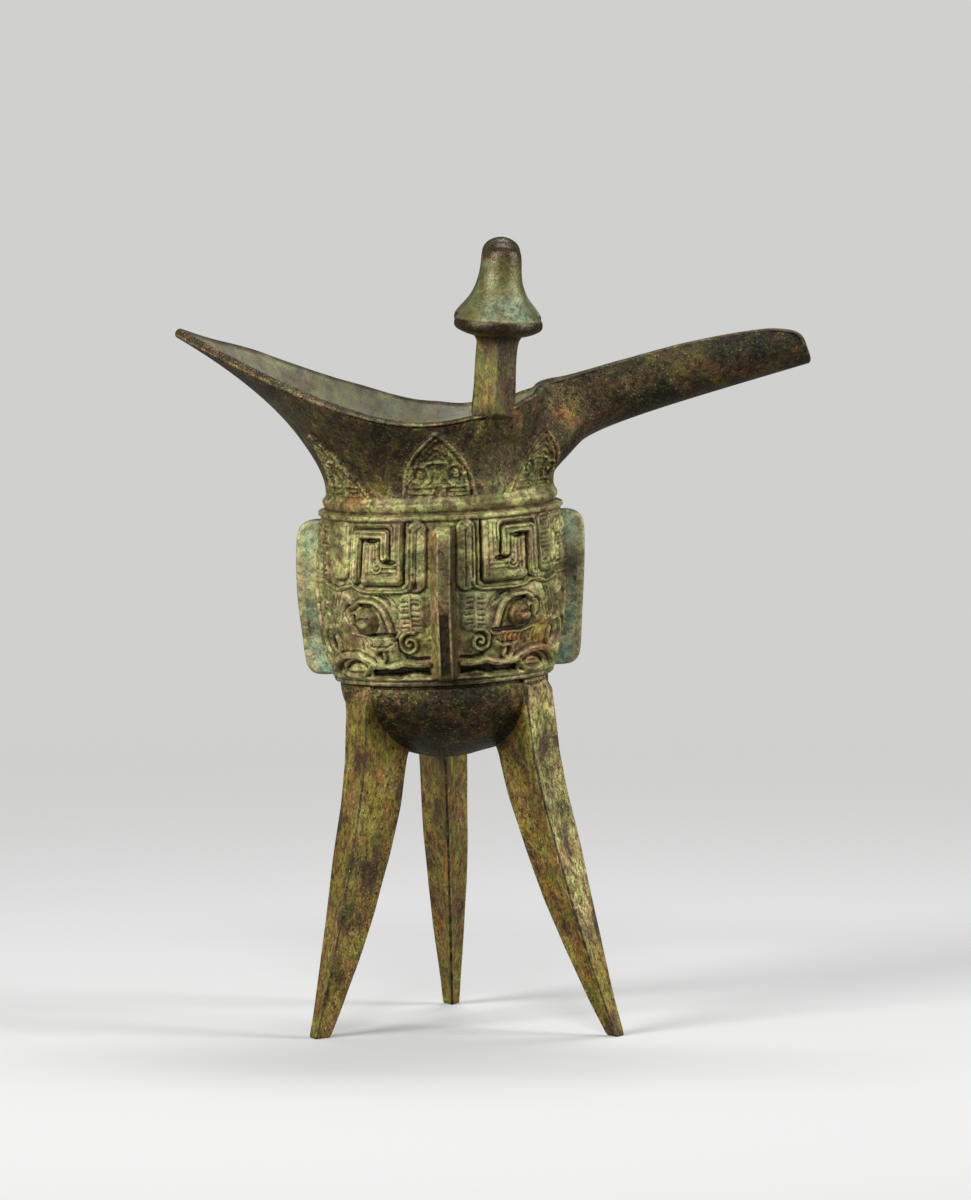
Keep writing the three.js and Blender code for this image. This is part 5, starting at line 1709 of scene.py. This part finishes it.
class JUE_OT_stage(CupOperator):
    """Makes the floor, the lights, the world and the camera"""

    bl_idname = "jue.make_stage"
    bl_label = "Stage"

    def pointed(self, name, data, place, aim):
        """Object of a lamp or a camera that looks from its place at its aim."""
        made = new_object(name, data)
        made.location = place
        made.rotation_euler = (Vector(aim) - Vector(place)).to_track_quat("-Z", "Y").to_euler()
        return made

    def lamp(self, name, place, size, power):
        light = bpy.data.lights.new(name, "AREA")
        light.shape = "RECTANGLE"
        light.size, light.size_y = size
        light.energy = power
        self.pointed(name, light, place, LAMP_AIM)

    def paper(self, look):
        """Floor paper that is lit near the cup and fades to the plain backdrop for the camera."""
        material = bpy.data.materials.new("Floor paper")
        nodes = material_nodes(material)
        rays = nodes.add("ShaderNodeLightPath").outputs
        place = nodes.add("ShaderNodeTexCoord").outputs["Object"]
        distance = nodes.add("ShaderNodeVectorMath", {0: place}, operation="LENGTH").outputs["Value"]
        seen = nodes.mix(rays["Is Camera Ray"], rgba(look.floor_return), rgba(look.floor))
        lit = nodes.add("ShaderNodeBsdfPrincipled", {"Base Color": seen, "Roughness": 0.85})
        plain = nodes.add("ShaderNodeEmission", {"Color": rgba(look.backdrop), "Strength": 1.0})
        share = nodes.times(nodes.step(distance, *FLOOR_FADE), rays["Is Camera Ray"], True)
        blend = nodes.add("ShaderNodeMixShader", {0: share, 1: lit.outputs[0], 2: plain.outputs[0]})
        nodes.add("ShaderNodeOutputMaterial", {"Surface": blend.outputs[0]})
        return material

    def floor(self, look):
        mesh = bpy.data.meshes.new("floor")
        corners = [(x * FLOOR_HALF, y * FLOOR_HALF, 0) for x, y in ((-1, -1), (1, -1), (1, 1), (-1, 1))]
        mesh.from_pydata(corners, [], [(0, 1, 2, 3)])
        floor = new_object("floor", mesh)
        mesh.materials.append(self.paper(look))

    def world(self, look):
        """World that lights softly and shows the camera a plain backdrop."""
        world = bpy.data.worlds.new("Studio")
        world.use_nodes = True
        world.node_tree.nodes.clear()
        nodes = Nodes(world.node_tree)
        rays = nodes.add("ShaderNodeLightPath").outputs
        soft = nodes.add("ShaderNodeBackground", {"Color": rgba(look.surround)})
        seen = nodes.add("ShaderNodeBackground", {"Color": rgba(look.backdrop)})
        blend = nodes.add("ShaderNodeMixShader", {0: rays["Is Camera Ray"], 1: soft.outputs[0],
                                                  2: seen.outputs[0]})
        nodes.add("ShaderNodeOutputWorld", {"Surface": blend.outputs[0]})
        return world

    def make(self, context):
        look = context.scene.stage_look
        self.floor(look)
        context.scene.world = self.world(look)
        for name, settings in LAMPS.items():
            self.lamp(name, *settings)
        camera = bpy.data.cameras.new("camera")
        camera.lens = look.lens
        camera.sensor_width = 36
        camera.clip_start = 0.1
        camera.clip_end = 50
        context.scene.camera = self.pointed("camera", camera, CAMERA_PLACE, CAMERA_AIM)
        context.scene.view_settings.view_transform = "Standard"


class JUE_PT_panel(bpy.types.Panel):
    """Lists the settings and the pieces of the cup"""

    bl_idname = "JUE_PT_panel"
    bl_label = "Bronze cup"
    bl_space_type = "VIEW_3D"
    bl_region_type = "UI"
    bl_category = "Bronze cup"

    def draw(self, context):
        layout = self.layout
        for settings in (context.scene.cup_shape, context.scene.cup_finish, context.scene.stage_look):
            for name in settings.__annotations__:
                layout.prop(settings, name)
        for operator in PIECE_OPERATORS:
            layout.operator(operator.bl_idname)


PIECE_OPERATORS = (JUE_OT_stage, JUE_OT_band, JUE_OT_mouth, JUE_OT_bowl, JUE_OT_legs, JUE_OT_flanges,
                   JUE_OT_posts, JUE_OT_handle, JUE_OT_cores)
CLASSES = (CupShape, CupFinish, StageLook, *PIECE_OPERATORS, JUE_PT_panel)


def register():
    for item in CLASSES:
        bpy.utils.register_class(item)
    bpy.types.Scene.cup_shape = bpy.props.PointerProperty(type=CupShape)
    bpy.types.Scene.cup_finish = bpy.props.PointerProperty(type=CupFinish)
    bpy.types.Scene.stage_look = bpy.props.PointerProperty(type=StageLook)


def unregister():
    del bpy.types.Scene.cup_shape
    del bpy.types.Scene.cup_finish
    del bpy.types.Scene.stage_look
    for item in reversed(CLASSES):
        bpy.utils.unregister_class(item)


def main():
    """Registers the add-on and makes every piece in order."""
    register()
    for operator in PIECE_OPERATORS:
        group, name = operator.bl_idname.split(".")
        getattr(getattr(bpy.ops, group), name)()


if __name__ == "__main__":
    main()
